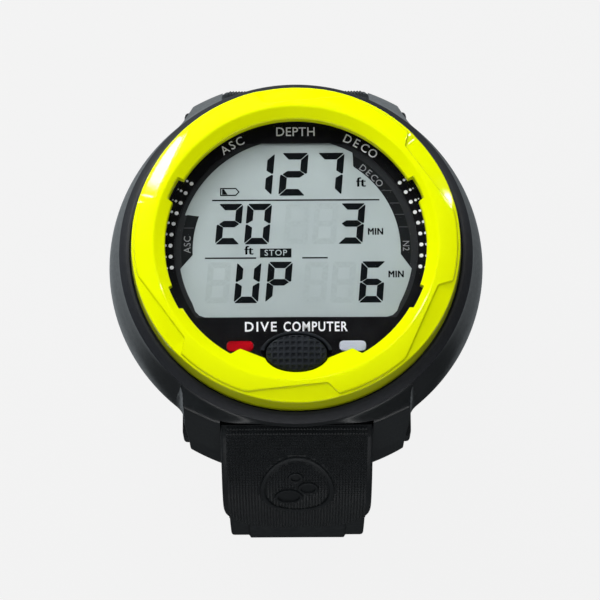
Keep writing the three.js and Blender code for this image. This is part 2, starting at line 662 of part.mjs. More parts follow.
function shortStrap() {
    const list = stations(SHORT_LINE);
    const end = list.at(-1).length;
    const band = layer(between(list, 15, end), 1, -STRAP_THICKNESS, -BAND_RECESS, BAND_WIDTH);
    const whole = join(band, strapPad(list, 1, 34, -36, -29), strapRoot(list, 1),
        crossRod(2.6, BAND_WIDTH / 2, PIN_Y, PIN_Z));
    const prongGap = block(-2.4, 2.4, PIN_Y - 7, PIN_Y + 5, PIN_Z - 6, PIN_Z + 2.9);
    return cut(whole, crossRod(BORE_RADIUS, 20, BAR_Y, BAR_Z, 16), crossRod(1.1, 20, PIN_Y, PIN_Z, 16), prongGap);
}

// A keeper is a rubber hoop round the short half with room for the long half's end.
function keeper(angle) {
    const [half, inner, outer] = [5, -STRAP_THICKNESS - 0.4, 3.5];
    const body = bendLayer(angle - half, angle + half, inner - 1.4, outer + 1.4, BAND_WIDTH + 3.8);
    return cut(body, bendLayer(angle - half - 2, angle + half + 2, inner, outer, BAND_WIDTH + 0.8));
}

function springBar(side) {
    const half = PAD_WIDTH / 2 - 0.3;
    const bar = turned([
        [0, -half - 2.4], [0.5, -half - 2.4], [0.55, -half], [BAR_RADIUS, -half], [BAR_RADIUS, half], [0.55, half],
        [0.5, half + 2.4], [0, half + 2.4],
    ], 16);
    return bar.rotate([0, 90, 0]).translate([0, side * BAR_Y, BAR_Z]);
}

function buckleFrame() {
    const body = bendLayer(BUCKLE_ANGLE - 4.2, 68, -STRAP_THICKNESS, -0.2, 36);
    const window = bendLayer(BUCKLE_ANGLE - 7, 63, -STRAP_THICKNESS - 2, 3, BAND_WIDTH + 1);
    return cut(body, window, crossRod(1.1, 17, PIN_Y, PIN_Z, 16));
}

function buckleProng() {
    const tongue = bendLayer(BUCKLE_ANGLE + 3, 67, 0.1, 1.6, 3);
    const rise = bendLayer(BUCKLE_ANGLE + 1, BUCKLE_ANGLE + 8, -1.6, 1.6, 3);
    return cut(join(tongue, rise, crossRod(2.1, 1.5, PIN_Y, PIN_Z)), crossRod(1.1, 5, PIN_Y, PIN_Z, 16));
}

addPart('spring_bar_6', toGeometry(springBar(-1)), 'steel');
addPart('spring_bar_12', toGeometry(springBar(1)), 'steel');
addPart('strap_long', toGeometry(longStrap()), 'rubber');
addPart('strap_short', toGeometry(shortStrap()), 'rubber');
addPart('buckle_pin', toGeometry(crossRod(0.8, 16.7, PIN_Y, PIN_Z, 16)), 'steel');
addPart('buckle_frame', toGeometry(buckleFrame()), 'shell');
addPart('buckle_prong', toGeometry(buckleProng()), 'steel');
addPart('keeper_fixed', toGeometry(keeper(26.5)), 'rubber');
addPart('keeper_free', toGeometry(keeper(12)), 'rubber');

export default computer;
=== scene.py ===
"""The looks of a wrist dive computer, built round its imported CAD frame.

Every mesh is made in millimetres from the dial face (X to 3 o'clock, Y to 12 o'clock, Z out of the face)
and moved into the row frame, in metres, when it becomes a piece.
"""

import json
import math

import bpy
import bmesh
import numpy as np
from mathutils import Matrix, Vector


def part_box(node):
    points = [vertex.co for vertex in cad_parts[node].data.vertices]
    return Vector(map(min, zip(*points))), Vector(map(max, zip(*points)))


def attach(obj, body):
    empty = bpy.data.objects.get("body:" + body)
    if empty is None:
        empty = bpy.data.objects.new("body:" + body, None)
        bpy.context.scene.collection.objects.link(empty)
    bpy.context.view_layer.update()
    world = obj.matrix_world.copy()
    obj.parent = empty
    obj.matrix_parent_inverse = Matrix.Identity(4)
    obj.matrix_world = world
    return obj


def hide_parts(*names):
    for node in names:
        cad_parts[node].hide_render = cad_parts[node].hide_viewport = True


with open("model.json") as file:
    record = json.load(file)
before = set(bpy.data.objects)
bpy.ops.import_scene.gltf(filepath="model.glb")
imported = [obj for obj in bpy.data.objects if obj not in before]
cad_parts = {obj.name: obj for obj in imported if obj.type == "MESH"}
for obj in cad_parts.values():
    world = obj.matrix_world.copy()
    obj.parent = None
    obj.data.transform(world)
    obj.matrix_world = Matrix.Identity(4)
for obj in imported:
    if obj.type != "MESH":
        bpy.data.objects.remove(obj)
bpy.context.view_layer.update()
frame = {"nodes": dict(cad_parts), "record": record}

MM = 0.001
DIAL_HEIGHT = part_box("dial_mask")[1].z
TO_ROW = Matrix.Translation((0, 0, DIAL_HEIGHT)) @ Matrix.Scale(MM, 4)


def reach(node, axis, side=1):
    """How far a CAD node reaches along an axis, in millimetres from the dial's centre."""
    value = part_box(node)[side][axis]
    return (value - (DIAL_HEIGHT if axis == 2 else 0)) / MM


BEZEL_OUTER = reach("bezel_ring", 0)
BEZEL_TOP = reach("bezel_ring", 2)
LENS_RADIUS = reach("lens", 0)
LENS_TOP = reach("lens", 2)
LENS_UNDER = reach("lens", 2, 0)
BACK = reach("case_rear", 2, 0)
LUG_TIP = reach("case_front", 2, 0)
PAD_HALF = reach("strap_long", 0)
LCD_TOP = reach("lcd_panel", 2)
BUTTON_TOP = reach("button_cap", 2)

# ---------------------------------------------------------------- materials


GRAINS = (0.3, 0.7)              # the part of a noise's range that a finish is spread over


def with_inputs(node, **values):
    """Sets some inputs of a node. An underscore stands for a space in their names."""
    for name, value in values.items():
        node.inputs[name.replace("_", " ")].default_value = value
    return node


class Finish:
    """A Principled material whose colour, roughness and relief come from its own nodes."""

    def __init__(self, name, color, roughness, **sockets):
        self.material = bpy.data.materials.new(name)
        self.material.use_nodes = True
        self.tree = self.material.node_tree
        self.shader = self.tree.nodes["Principled BSDF"]
        self.color = color
        with_inputs(self.shader, Base_Color=(*color, 1), Roughness=roughness, **sockets)
        self.place = self.node("ShaderNodeTexCoord").outputs["Object"]

    def node(self, kind, **inputs):
        return with_inputs(self.tree.nodes.new(kind), **inputs)

    def link(self, source, target):
        self.tree.links.new(source, target)

    def noise(self, size, detail=3, stretch=None):
        """Noise whose grains are about size millimetres across."""
        texture = self.node("ShaderNodeTexNoise", Scale=1 / (size * MM), Detail=detail)
        place = self.place
        if stretch:
            mapping = self.node("ShaderNodeMapping", Scale=stretch)
            self.link(place, mapping.inputs["Vector"])
            place = mapping.outputs["Vector"]
        self.link(place, texture.inputs["Vector"])
        return texture.outputs["Fac"]

    def mottle(self, size, share, detail=3):
        """Colour that varies by a share of itself."""
        ramp = self.node("ShaderNodeValToRGB")
        ends = ramp.color_ramp.elements
        for end, position, factor in zip(ends, GRAINS, (1 - share, 1 + share)):
            end.position = position
            end.color = (*(min(1, c * factor) for c in self.color), 1)
        self.link(self.noise(size, detail), ramp.inputs["Fac"])
        self.link(ramp.outputs["Color"], self.shader.inputs["Base Color"])
        return self

    def gloss(self, size, low, high):
        """Roughness that varies from low to high."""
        start, end = GRAINS
        spread = self.node("ShaderNodeMapRange", From_Min=start, From_Max=end, To_Min=low, To_Max=high)
        self.link(self.noise(size), spread.inputs["Value"])
        self.link(spread.outputs["Result"], self.shader.inputs["Roughness"])
        return self

    def relief(self, size, depth, detail=2, stretch=None):
        """Fine bumps of a size and depth in millimetres."""
        bump = self.node("ShaderNodeBump", Distance=depth * MM, Strength=0.6)
        self.link(self.noise(size, detail, stretch), bump.inputs["Height"])
        self.link(bump.outputs["Normal"], self.shader.inputs["Normal"])
        return self

    def clear_where(self, factor):
        """Makes the material fully see-through where a factor is 1."""
        mix = self.node("ShaderNodeMixShader")
        clear = self.node("ShaderNodeBsdfTransparent")
        self.link(factor, mix.inputs["Fac"])
        self.link(self.shader.outputs["BSDF"], mix.inputs[1])
        self.link(clear.outputs["BSDF"], mix.inputs[2])
        self.link(mix.outputs["Shader"], self.tree.nodes["Material Output"].inputs["Surface"])
        return self


def case_plastic():
    finish = Finish("case_plastic", (0.012, 0.0145, 0.0165), 0.36, Specular_IOR_Level=0.45)
    return finish.mottle(1.2, 0.12).gloss(0.8, 0.32, 0.4).relief(0.16, 0.02).material


# The rim's colour is the case plastic's colour made lighter and bluer: painted light for the light its
# upward-facing slope catches.
def rim_plastic_painted_lighter():
    finish = Finish("rim_plastic_painted_lighter", (0.018, 0.020, 0.025), 0.5, Specular_IOR_Level=0.35)
    return finish.mottle(1.2, 0.1).gloss(0.8, 0.46, 0.54).relief(0.16, 0.02).material


def yellow_plastic():
    finish = Finish("yellow_plastic", (0.87, 0.97, 0.0), 0.07, Specular_IOR_Level=0.3)
    return finish.mottle(6, 0.012).gloss(3, 0.055, 0.085).relief(0.5, 0.0006).material


def lens_glass():
    """Clear glass with a coated front. Rays from lamps pass it, so that the display behind it is lit."""
    finish = Finish("lens_glass", (0.98, 0.99, 1.0), 0.02, Transmission_Weight=1.0, IOR=1.12)
    path = finish.node("ShaderNodeLightPath")
    return finish.gloss(9, 0.015, 0.03).clear_where(path.outputs["Is Shadow Ray"]).material


def print_ink(name, color, roughness=0.4):
    finish = Finish(name, color, roughness, Specular_IOR_Level=0.0)
    return finish.mottle(0.6, 0.04).material


def dial_black():
    finish = Finish("dial_black", (0.008, 0.008, 0.009), 0.3, Specular_IOR_Level=0.02)
    return finish.mottle(3, 0.2).gloss(5, 0.25, 0.35).material


def lcd_grey():
    """The display's grey reflector, with its fine brushed grain and a slow change of tone."""
    finish = Finish("lcd_grey", (0.41, 0.47, 0.468), 0.5, Specular_IOR_Level=0.0)
    return finish.mottle(9, 0.045, 1).relief(0.12, 0.004, stretch=(1, 0.2, 1)).material


def rubber(name, color, roughness, grain=0.22, depth=0.03, specular=0.3):
    finish = Finish(name, color, roughness, Specular_IOR_Level=specular)
    finish.mottle(2.5, 0.15).gloss(1.5, roughness - 0.06, roughness + 0.06)
    return finish.relief(grain, depth).material


def moulded(name, color, roughness, grain=0.4, depth=0.01, **sockets):
    finish = Finish(name, color, roughness, **sockets)
    return finish.mottle(3, 0.05).relief(grain, depth).material


def metal(name, color, roughness, stretch=(1, 1, 0.05)):
    finish = Finish(name, color, roughness, Metallic=1.0)
    finish.mottle(2, 0.06).gloss(0.8, roughness - 0.06, roughness + 0.08)
    return finish.relief(0.1, 0.004, stretch=stretch).material


def circuit_board():
    """Green solder mask with paler copper tracks under it."""
    finish = Finish("circuit_board", (0.01, 0.10, 0.04), 0.35)
    tracks = finish.node("ShaderNodeTexBrick", Scale=1 / (9 * MM), Color1=(0.008, 0.085, 0.035, 1),
                         Color2=(0.012, 0.11, 0.045, 1), Mortar=(0.03, 0.17, 0.06, 1), Mortar_Size=0.03)
    finish.link(finish.place, tracks.inputs["Vector"])
    finish.link(tracks.outputs["Color"], finish.shader.inputs["Base Color"])
    return finish.relief(0.5, 0.01).material


MATERIALS = {
    "case_plastic": case_plastic(),
    "yellow_plastic": yellow_plastic(),
    "lens": lens_glass(),
    "seal_rubber": rubber("seal_rubber", (0.012, 0.012, 0.013), 0.6),
    "dial_black": dial_black(),
    "lcd_grey": lcd_grey(),
    "white_plastic": moulded("white_plastic", (0.72, 0.73, 0.70), 0.45),
    "white_gloss": moulded("white_gloss", (0.68, 0.72, 0.83), 0.25, Specular_IOR_Level=0.1),
    "red_plastic": moulded("red_plastic", (0.44, 0.002, 0.008), 0.25, Specular_IOR_Level=0.1),
    "circuit_board": circuit_board(),
    "chip_black": moulded("chip_black", (0.02, 0.02, 0.022), 0.45, 0.15),
    "steel": metal("steel", (0.56, 0.57, 0.58), 0.28),
    "brass": metal("brass", (0.78, 0.60, 0.28), 0.25),
    "button_rubber": rubber("button_rubber", (0.0175, 0.0205, 0.025), 0.5, 0.2, 0.01, 0.08),
    "strap_rubber": rubber("strap_rubber", (0.0125, 0.015, 0.017), 0.5, 0.22, 0.015, 0.22),
    "buckle_plastic": moulded("buckle_plastic", (0.013, 0.014, 0.016), 0.4, 0.3, 0.015),
}
RIM_PAINTED_LIGHTER = rim_plastic_painted_lighter()
LCD_INK = print_ink("lcd_ink", (0.0065, 0.008, 0.009))
LCD_GHOST = print_ink("lcd_ghost", (0.388, 0.445, 0.443), 0.5)
LCD_MASK = print_ink("lcd_mask", (0.03, 0.032, 0.034))
MASK_DARK = print_ink("mask_dark", (0.014, 0.0155, 0.0165))
MASK_LINE = print_ink("mask_line", (0.06, 0.062, 0.066))
WHITE_INK = print_ink("white_ink", (0.93, 0.94, 0.95))
GREY_INK = print_ink("grey_ink", (0.27, 0.28, 0.285))

# ---------------------------------------------------------------- how meshes become pieces


def placed(name, data):
    """A new object in the scene that holds some data."""
    item = bpy.data.objects.new(name, data)
    bpy.context.scene.collection.objects.link(item)
    return item


def rough(name, points, faces):
    """An object still in millimetres, with faces turned outwards."""
    mesh = bpy.data.meshes.new(name)
    mesh.from_pydata(np.asarray(points, float).tolist(), [], [list(f) for f in faces])
    made = bmesh.new()
    made.from_mesh(mesh)
    bmesh.ops.remove_doubles(made, verts=made.verts, dist=1e-5)
    bmesh.ops.recalc_face_normals(made, faces=made.faces)
    made.to_mesh(mesh)
    made.free()
    return placed(name, mesh)


def applied(item):
    """Bakes an object's modifiers into its mesh."""
    shown = item.evaluated_get(bpy.context.evaluated_depsgraph_get())
    mesh = bpy.data.meshes.new_from_object(shown)
    item.modifiers.clear()
    item.data = mesh
    return item


def discard(*items):
    for item in items:
        bpy.data.objects.remove(item)


def combine(item, operation, *tools):
    for tool in tools:
        step = item.modifiers.new("combine", "BOOLEAN")
        step.operation = operation
        step.solver = "EXACT"
        step.object = tool
        applied(item)
    discard(*tools)
    return item


def cut(item, *tools):
    return combine(item, "DIFFERENCE", *tools)


def fuse(item, *tools):
    return combine(item, "UNION", *tools)


def rounded(item, width, segments=3, angle=35):
    """Rounds an object's sharp edges."""
    step = item.modifiers.new("round", "BEVEL")
    step.width = width
    step.segments = segments
    step.limit_method = "ANGLE"
    step.angle_limit = math.radians(angle)
    step.harden_normals = False
    return applied(item)


def gathered(name, *items):
    """Several closed shells as one object."""
    points, faces = [], []
    for item in items:
        start = len(points)
        points += [v.co[:] for v in item.data.vertices]
        faces += [[start + i for i in p.vertices] for p in item.data.polygons]
    discard(*items)
    mesh = bpy.data.meshes.new(name)
    mesh.from_pydata(points, [], faces)
    return placed(name, mesh)


def piece(item, name, body, slot, *nodes, sharp=34, material=None):
    """Moves a finished object into the row frame and hands it to its body.

    Edges sharper than an angle in degrees stay sharp. The material is the slot's own unless one is given.
    """
    item.name = name
    mesh = item.data
    mesh.name = name
    mesh.transform(TO_ROW)
    mesh.validate()
    mesh.shade_smooth()
    mesh.set_sharp_from_angle(angle=math.radians(sharp))
    mesh.materials.clear()
    mesh.materials.append(material or MATERIALS[slot])
    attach(item, body)
    if nodes:
        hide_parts(*nodes)
    return item


# ---------------------------------------------------------------- outlines and basic shapes


def arc(cx, cy, radius, start, end, count):
    """Points on a circle, with angles in degrees."""
    angles = np.radians(np.linspace(start, end, count))
    return [(cx + radius * math.cos(a), cy + radius * math.sin(a)) for a in angles]


def on_circle(radius, degrees):
    a = math.radians(degrees)
    return radius * math.cos(a), radius * math.sin(a)


def corner_rounded(points, radius, steps=5):
    """An outline with its corners turned into arcs. radius is one number, or one for each corner."""
    radii = radius if isinstance(radius, (list, tuple)) else [radius] * len(points)
    result = []
    for i, (point, r) in enumerate(zip(points, radii)):
        if r <= 0:
            result.append(tuple(point))
            continue
        here = Vector(point)
        before = Vector(points[i - 1]) - here
        after = Vector(points[(i + 1) % len(points)]) - here
        half = before.angle(after) / 2
        back = min(r / math.tan(half), 0.49 * before.length, 0.49 * after.length)
        start, end = here + before.normalized() * back, here + after.normalized() * back
        for k in range(steps + 1):
            t = k / steps
            result.append(tuple(start * (1 - t) ** 2 + here * 2 * t * (1 - t) + end * t ** 2))
    return result


def box_outline(half_x, half_y, radius, cx=0, cy=0, steps=6):
    corners = [(cx - half_x, cy - half_y), (cx + half_x, cy - half_y),
               (cx + half_x, cy + half_y), (cx - half_x, cy + half_y)]
    return corner_rounded(corners, radius, steps)


def ellipse(cx, cy, half_x, half_y, count=48):
    angles = [2 * math.pi * i / count for i in range(count)]
    return [(cx + half_x * math.cos(a), cy + half_y * math.sin(a)) for a in angles]


def chorded(radius, low, high, count=48):
    """A circle cut off by level chords below and above."""
    start, end = (math.degrees(math.asin(y / radius)) for y in (low, high))
    return arc(0, 0, radius, start, end, count) + arc(0, 0, radius, 180 - end, 180 - start, count)


def lathe(outline, count=128, cx=0, cy=0):
    """A closed turned solid about an upright axis from (radius, height) corners."""
    angles = 2 * np.pi * np.arange(count) / count
    points = [(cx + r * math.cos(a), cy + r * math.sin(a), z) for a in angles for r, z in outline]
    n = len(outline)
    faces = []
    for i in range(count):
        j = (i + 1) % count
        for k in range(n):
            m = (k + 1) % n
            faces.append((i * n + k, j * n + k, j * n + m, i * n + m))
    return rough("turned", points, faces)


def turned(outline, round_by=0.0, count=128, cx=0, cy=0):
    """A lathe with its corners off the axis rounded."""
    radii = [0 if r < 1e-6 else round_by for r, _ in outline]
    return lathe(corner_rounded(outline, radii, 4), count, cx, cy)


def plate(outline, low, high, bevel=0.0):
    """A flat outline between two heights, with its top edge eased by bevel."""
    n = len(outline)
    points = [(x, y, low) for x, y in outline] + [(x, y, high) for x, y in outline]
    faces = [tuple(range(n))[::-1], tuple(range(n, 2 * n))]
    faces += [(i, (i + 1) % n, n + (i + 1) % n, n + i) for i in range(n)]
    item = rough("plate", points, faces)
    return rounded(item, bevel, 2, 60) if bevel else item


def sideways(outline, half_width, bevel=0.0):
    """An outline in the side view (y, z), between -half_width and half_width along X."""
    n = len(outline)
    points = [(-half_width, y, z) for y, z in outline] + [(half_width, y, z) for y, z in outline]
    faces = [tuple(range(n)), tuple(range(n, 2 * n))[::-1]]
    faces += [(i, n + i, n + (i + 1) % n, (i + 1) % n) for i in range(n)]
    item = rough("sideways", points, faces)
    return rounded(item, bevel, 3, 50) if bevel else item


def block(x0, x1, y0, y1, z0, z1, bevel=0.0):
    return plate([(x0, y0), (x1, y0), (x1, y1), (x0, y1)], z0, z1, bevel)


def rod(radius, half_length, y, z, count=32, ease=0.0):
    """A rod along X through (y, z)."""
    ends = [(0, -half_length), (radius, -half_length), (radius, half_length), (0, half_length)]
    return along_x(lathe(corner_rounded(ends, [0, ease, ease, 0], 3), count), y, z)


def along_x(item, y, z):
    """Lays an upright turned shape along X, through (y, z)."""
    turn = Matrix.Rotation(math.radians(90), 4, "Y")
    item.data.transform(Matrix.Translation((0, y, z)) @ turn)
    return item


def post(radius, low, high, x=0, y=0, count=32, round_by=0.0):
    """An upright rod between two heights."""
    return turned([(0, low), (radius, low), (radius, high), (0, high)], round_by, count, x, y)


def soft_min(a, b, k):
    h = np.clip(0.5 + 0.5 * (b - a) / k, 0, 1)
    return b * (1 - h) + a * h - k * h * (1 - h)


def soft_max(a, b, k):
    return -soft_min(-a, -b, k)


def smooth_step(t):
    t = np.clip(t, 0, 1)
    return t * t * (3 - 2 * t)


def ring_of_sections(sections):
    """Closed sections at successive angles, as an array (angles, points, 3), joined into a closed ring."""
    count, n = sections.shape[:2]
    i, k = np.meshgrid(np.arange(count), np.arange(n), indexing="ij")
    j, m = (i + 1) % count, (k + 1) % n
    faces = np.stack([i * n + k, j * n + k, j * n + m, i * n + m], -1).reshape(-1, 4)
    return rough("ring", sections.reshape(-1, 3), faces.tolist())


def capped_tube(sections):
    """Closed sections in a row, as an array (sections, points, 3), joined and closed at both ends."""
    count, n = sections.shape[:2]
    i, k = np.meshgrid(np.arange(count - 1), np.arange(n), indexing="ij")
    m = (k + 1) % n
    faces = np.stack([i * n + k, (i + 1) * n + k, (i + 1) * n + m, i * n + m], -1).reshape(-1, 4).tolist()
    faces += [list(range(n)), list(range((count - 1) * n, count * n))[::-1]]
    return rough("tube", sections.reshape(-1, 3), faces)


def polar(radii, heights, degrees):
    """Section points from radii and heights, arrays (angles, points), at angles in degrees."""
    angle = np.radians(degrees)[:, None]
    return np.stack([radii * np.cos(angle), radii * np.sin(angle), heights], -1)


def through(points, count):
    """A smooth curve through points, as an array (count, 2)."""
    p = np.asarray(points, float)
    p = np.vstack([2 * p[0] - p[1], p, 2 * p[-1] - p[-2]])
    t = np.linspace(0, len(points) - 1, count)
    i = np.minimum(t.astype(int), len(points) - 2)
    f = (t - i)[:, None]
    a, b, c, d = p[i], p[i + 1], p[i + 2], p[i + 3]
    square, cube = 2 * a - 5 * b + 4 * c - d, 3 * b - 3 * c + d - a
    return 0.5 * (2 * b + (c - a) * f + square * f ** 2 + cube * f ** 3)


def patch(top, bottom, keep):
    """A closed sheet between grids of top and bottom points, arrays (rows, columns, 3).

    Only the kept cells are made, and each is split along the diagonal that points at its block's middle.
    """
    rows, columns = keep.shape
    stride = columns + 1
    count = top.shape[0] * top.shape[1]
    points = np.concatenate([top.reshape(-1, 3), bottom.reshape(-1, 3)])
    faces = []
    for r in range(rows):
        for c in range(columns):
            if not keep[r, c]:
                continue
            a, b = r * stride + c, r * stride + c + 1
            d, e = a + stride, b + stride
            if (r + c) % 2 == 0:
                faces += [(a, b, e), (a, e, d)]
            else:
                faces += [(a, b, d), (b, e, d)]
            faces.append((count + a, count + d, count + e, count + b))
            sides = [(r - 1, c, a, b), (r, c + 1, b, e), (r + 1, c, e, d), (r, c - 1, d, a)]
            for row, column, p, q in sides:
                inside = 0 <= row < rows and 0 <= column < columns
                if not (inside and keep[row, column]):
                    faces.append((p, count + p, count + q, q))
    mesh = bpy.data.meshes.new("patch")
    mesh.from_pydata(points.tolist(), [], faces)
    made = bmesh.new()
    made.from_mesh(mesh)
    loose = [v for v in made.verts if not v.link_faces]
    bmesh.ops.delete(made, geom=loose, context="VERTS")
    bmesh.ops.recalc_face_normals(made, faces=made.faces)
    made.to_mesh(mesh)
    made.free()
    return placed("patch", mesh)


# ---------------------------------------------------------------- bezel

LIP_RADIUS = 26.0
LIP_UNDER = 2.9
CREST = 28.3                     # where the inner slope meets the top face
EDGE = 32.1                      # where the top face meets the outer shoulder
STEP_DEPTH = 0.32
OUTER_FALL = math.tan(math.radians(17.5))  # slope of the lowered outer part of the top face
TONGUE_TIP = (5.9, -23.3)        # the tongues beside the button: the end near it, and the far end
TONGUE_FAR = (11.1, -21.2)
TONGUE_TURN = 27.3               # degrees from 6 o'clock where a tongue runs back into the round lip
NOTCHES = [(25, 27.1), (155, 27.1), (-25, 26.75), (-155, 26.75)]  # their angles and radii
NOTCH_HALF = 5.75                # degrees
CHORD = (29.5, 3.5), (EDGE, 33.0)  # radius and angle at the ends of each chord of the step line
BUTTON_Y = -22.4
BUTTON_GAP = (6.25, 4.05)        # half axes of the cut-out round the button


def off_angle(degrees, centre):
    """How many degrees each angle is away from a centre."""
    return np.abs((degrees - centre + 180) % 360 - 180)


def lip_radius(degrees):
    """The opening's radius: round, with four notches, two tongues and the button's cut-out near 6 o'clock."""
    lip = np.full(len(degrees), LIP_RADIUS)
    for centre, radius in NOTCHES:
        lip += (radius - LIP_RADIUS) * smooth_step((NOTCH_HALF - off_angle(degrees, centre)) / 0.5)
    away = off_angle(degrees, -90)
    a = np.radians(away)
    run = Vector(TONGUE_FAR) - Vector(TONGUE_TIP)
    across = Vector((run.y, -run.x)).normalized()
    tongue = across.dot(Vector(TONGUE_TIP)) / (across.x * np.sin(a) - across.y * np.cos(a))
    half_x, half_y = BUTTON_GAP
    qa = (np.sin(a) / half_x) ** 2 + (np.cos(a) / half_y) ** 2
    qb = 2 * BUTTON_Y * np.cos(a) / half_y ** 2
    qc = (BUTTON_Y / half_y) ** 2 - 1
    inside = qb ** 2 - 4 * qa * qc
    cut_out = np.where(inside > 0, (-qb + np.sqrt(np.maximum(inside, 0))) / (2 * qa), 0)
    near = soft_max(tongue, cut_out, 0.25)
    back = smooth_step((away - TONGUE_TURN) / 3.1)
    near = near * (1 - back) + (LIP_RADIUS + 0.15) * back
    return np.where(away < 30, near, lip)


def step_radius(degrees):
    """The step line round the top face: six chords that end in a hooked jog, joined along the outer edge."""
    along = (-15 - degrees + 12) % 60 - 12
    (r1, a1), (r2, a2) = CHORD
    span = math.sin(math.radians(a2 - a1))
    line = r1 * r2 * span / (r1 * np.sin(np.radians(along - a1)) + r2 * np.sin(np.radians(a2 - along)))
    jog = EDGE - 0.85 * (along + 0.2)
    inner = soft_max(np.where(along < 45, line, EDGE + 3), jog, 0.6)
    return soft_min(inner, np.full_like(inner, EDGE), 0.3)


def bezel_height(r):
    """The height of the inner slope and the top face, without the step."""
    slope = 4.4 + (r - LIP_RADIUS) * 0.696
    run = np.maximum(r - CREST, 0) / (EDGE - CREST)
    crown = BEZEL_TOP - 0.55 * run ** 1.7
    return soft_min(slope, crown, 0.12)


def bezel():
    degrees = np.arange(0, 360, 0.25)
    lip = lip_radius(degrees)[:, None]
    step = step_radius(degrees)[:, None]
    half = 0.13

    def span(start, end, count):
        return start + (end - start) * np.linspace(0, 1, count)[None, 1:]

    ones = np.ones_like(lip)
    inner = 28.95 * ones
    slope = np.hstack([lip + 0.02, lip + 0.07, lip + 0.16, span(lip + 0.16, inner, 13)])
    foot = step + half
    outer = span(foot, np.maximum(foot + 0.02, (EDGE + 0.25) * ones), 8)
    top_r = np.hstack([slope, span(inner, step - half, 9), span(step - half, foot, 7), outer])
    inner_z = bezel_height(top_r) - STEP_DEPTH * smooth_step((top_r - step + half) / (2 * half))
    outer_z = bezel_height(foot) - STEP_DEPTH - OUTER_FALL * (top_r - foot)
    top_z = np.where(top_r > foot, outer_z, inner_z)
    top_z[:, 0] -= 0.16
    top_z[:, 1] -= 0.05
    turn = np.radians(np.linspace(0, 80, 7)[1:])[None, :]
    ease = 0.32
    shoulder_r = top_r[:, -1:] + ease * np.sin(turn)
    shoulder_z = top_z[:, -1:] - ease * (1 - np.cos(turn))
    wall = [(BEZEL_OUTER, 1.0), (BEZEL_OUTER, -0.75), (BEZEL_OUTER - 0.15, -0.9), (29.6, -0.9),
            (29.6, LIP_UNDER)]
    radii = np.hstack([lip, top_r, shoulder_r, *(ones * r for r, _ in wall)])
    heights = np.hstack([ones * LIP_UNDER, top_z, shoulder_z, *(ones * z for _, z in wall)])
    item = ring_of_sections(polar(radii, heights, degrees))
    piece(item, "bezel", "root", "yellow_plastic", "bezel_ring", sharp=50)


# ---------------------------------------------------------------- case

SPLIT = -16.0                    # where the two halves of the case meet
WALL = [(35.45, -1.5), (35.75, -2.8), (36.6, -5.3), (37.4, -7.9), (37.95, -10.7), (37.95, -12.3),
        (37.35, -14.5), (36.2, -16)]
RIM_SEAT = [(27.2, -1.2), (33.28, -1.2), (33.3, -0.38), (33.38, -0.3), (33.8, -0.34), (34.1, -0.5),
            (35.3, -1.35)]
RIM_OUTLINE = [(33.32, -0.5), (33.4, -0.285), (33.82, -0.3), (34.1, -0.42), (34.7, -0.85), (35.36, -1.32),
               (35.47, -1.44), (35.48, -1.6), (34.9, -1.65)]
LUG_HALF_WIDTH = 22.6
LUG_LEAN = 0.12                  # how far a lug's sides lean in, in radians
LUG_CONE = (35.05, -1.95, 7.45 / 16.35)  # the lugs' cone: where it starts, and how it widens
FLARE = 5.0                      # radius of the hollow between the bowl and a lug's side
SLOT_HALF = 15.2
SLOT_WALL = 28.1
APRON_FRONT = 35.2               # how far the apron over the lower strap slot stands out
APRON_SLANT = 0.48               # how it falls back across the lugs
APRON_WIDENING = 0.26            # how it spreads on its way down
SLOT_ROOF = -2.8
BAR_Y, BAR_Z = 33.0, -11.0


def even_and_dense(low, high, step):
    """Angles round the ring, every degree, and finer where the lugs' sides are."""
    dense = np.arange(low, high, step)
    spans = np.concatenate([dense, 180 - dense, 180 + dense, 360 - dense])
    clear = [a for a in np.arange(0, 360, 1.0) if np.abs(spans - a).min() >= 0.6]
    return np.unique(np.round(np.concatenate([clear, spans]) % 360, 4))


def folded(degrees):
    """Angles from the nearer end of the X axis, in radians, as a column."""
    return np.radians(np.abs(((degrees + 90) % 180) - 90))[:, None]


def case_radius(degrees, z, bowl):
    """The wall's radius at an angle and a height: the bowl, and the lugs that flare out of it."""
    a = folded(degrees)
    cone_radius, cone_top, widening = LUG_CONE
    cone = cone_radius + (cone_top - z) * widening
    side = LUG_HALF_WIDTH - math.tan(LUG_LEAN) * soft_max(-10 - z, np.zeros_like(z), 0.6)
    centre_r = bowl + FLARE
    centre_a = np.arccos((side + FLARE) / centre_r)
    tangent_a = np.arctan2(centre_r * np.sin(centre_a), side)
    away = a - centre_a
    flare = centre_r * np.cos(away) - np.sqrt(np.maximum(FLARE ** 2 - (centre_r * np.sin(away)) ** 2, 0))
    straight = side / np.maximum(np.cos(a), 1e-3)
    limit = np.where(a < centre_a, bowl, np.where(a < tangent_a, flare, straight))
    skin = np.broadcast_to(soft_max(bowl, cone, 0.5), limit.shape)
    front = APRON_FRONT + APRON_WIDENING * np.maximum(-3 - z, 0)
    level = front / np.maximum(np.sin(a), 1e-3)
    slanted = (front + APRON_SLANT * SLOT_HALF) / (np.sin(a) + APRON_SLANT * np.cos(a))
    apron = soft_max(skin, soft_min(level, slanted, 1.2), 0.3)
    lower_lugs = (np.sin(np.radians(degrees)) < 0)[:, None] & (a > math.radians(50))
    push = smooth_step((WALL[0][1] - z) / 1.8) * lower_lugs
    return soft_min(skin + (apron - skin) * push, limit, 0.6)


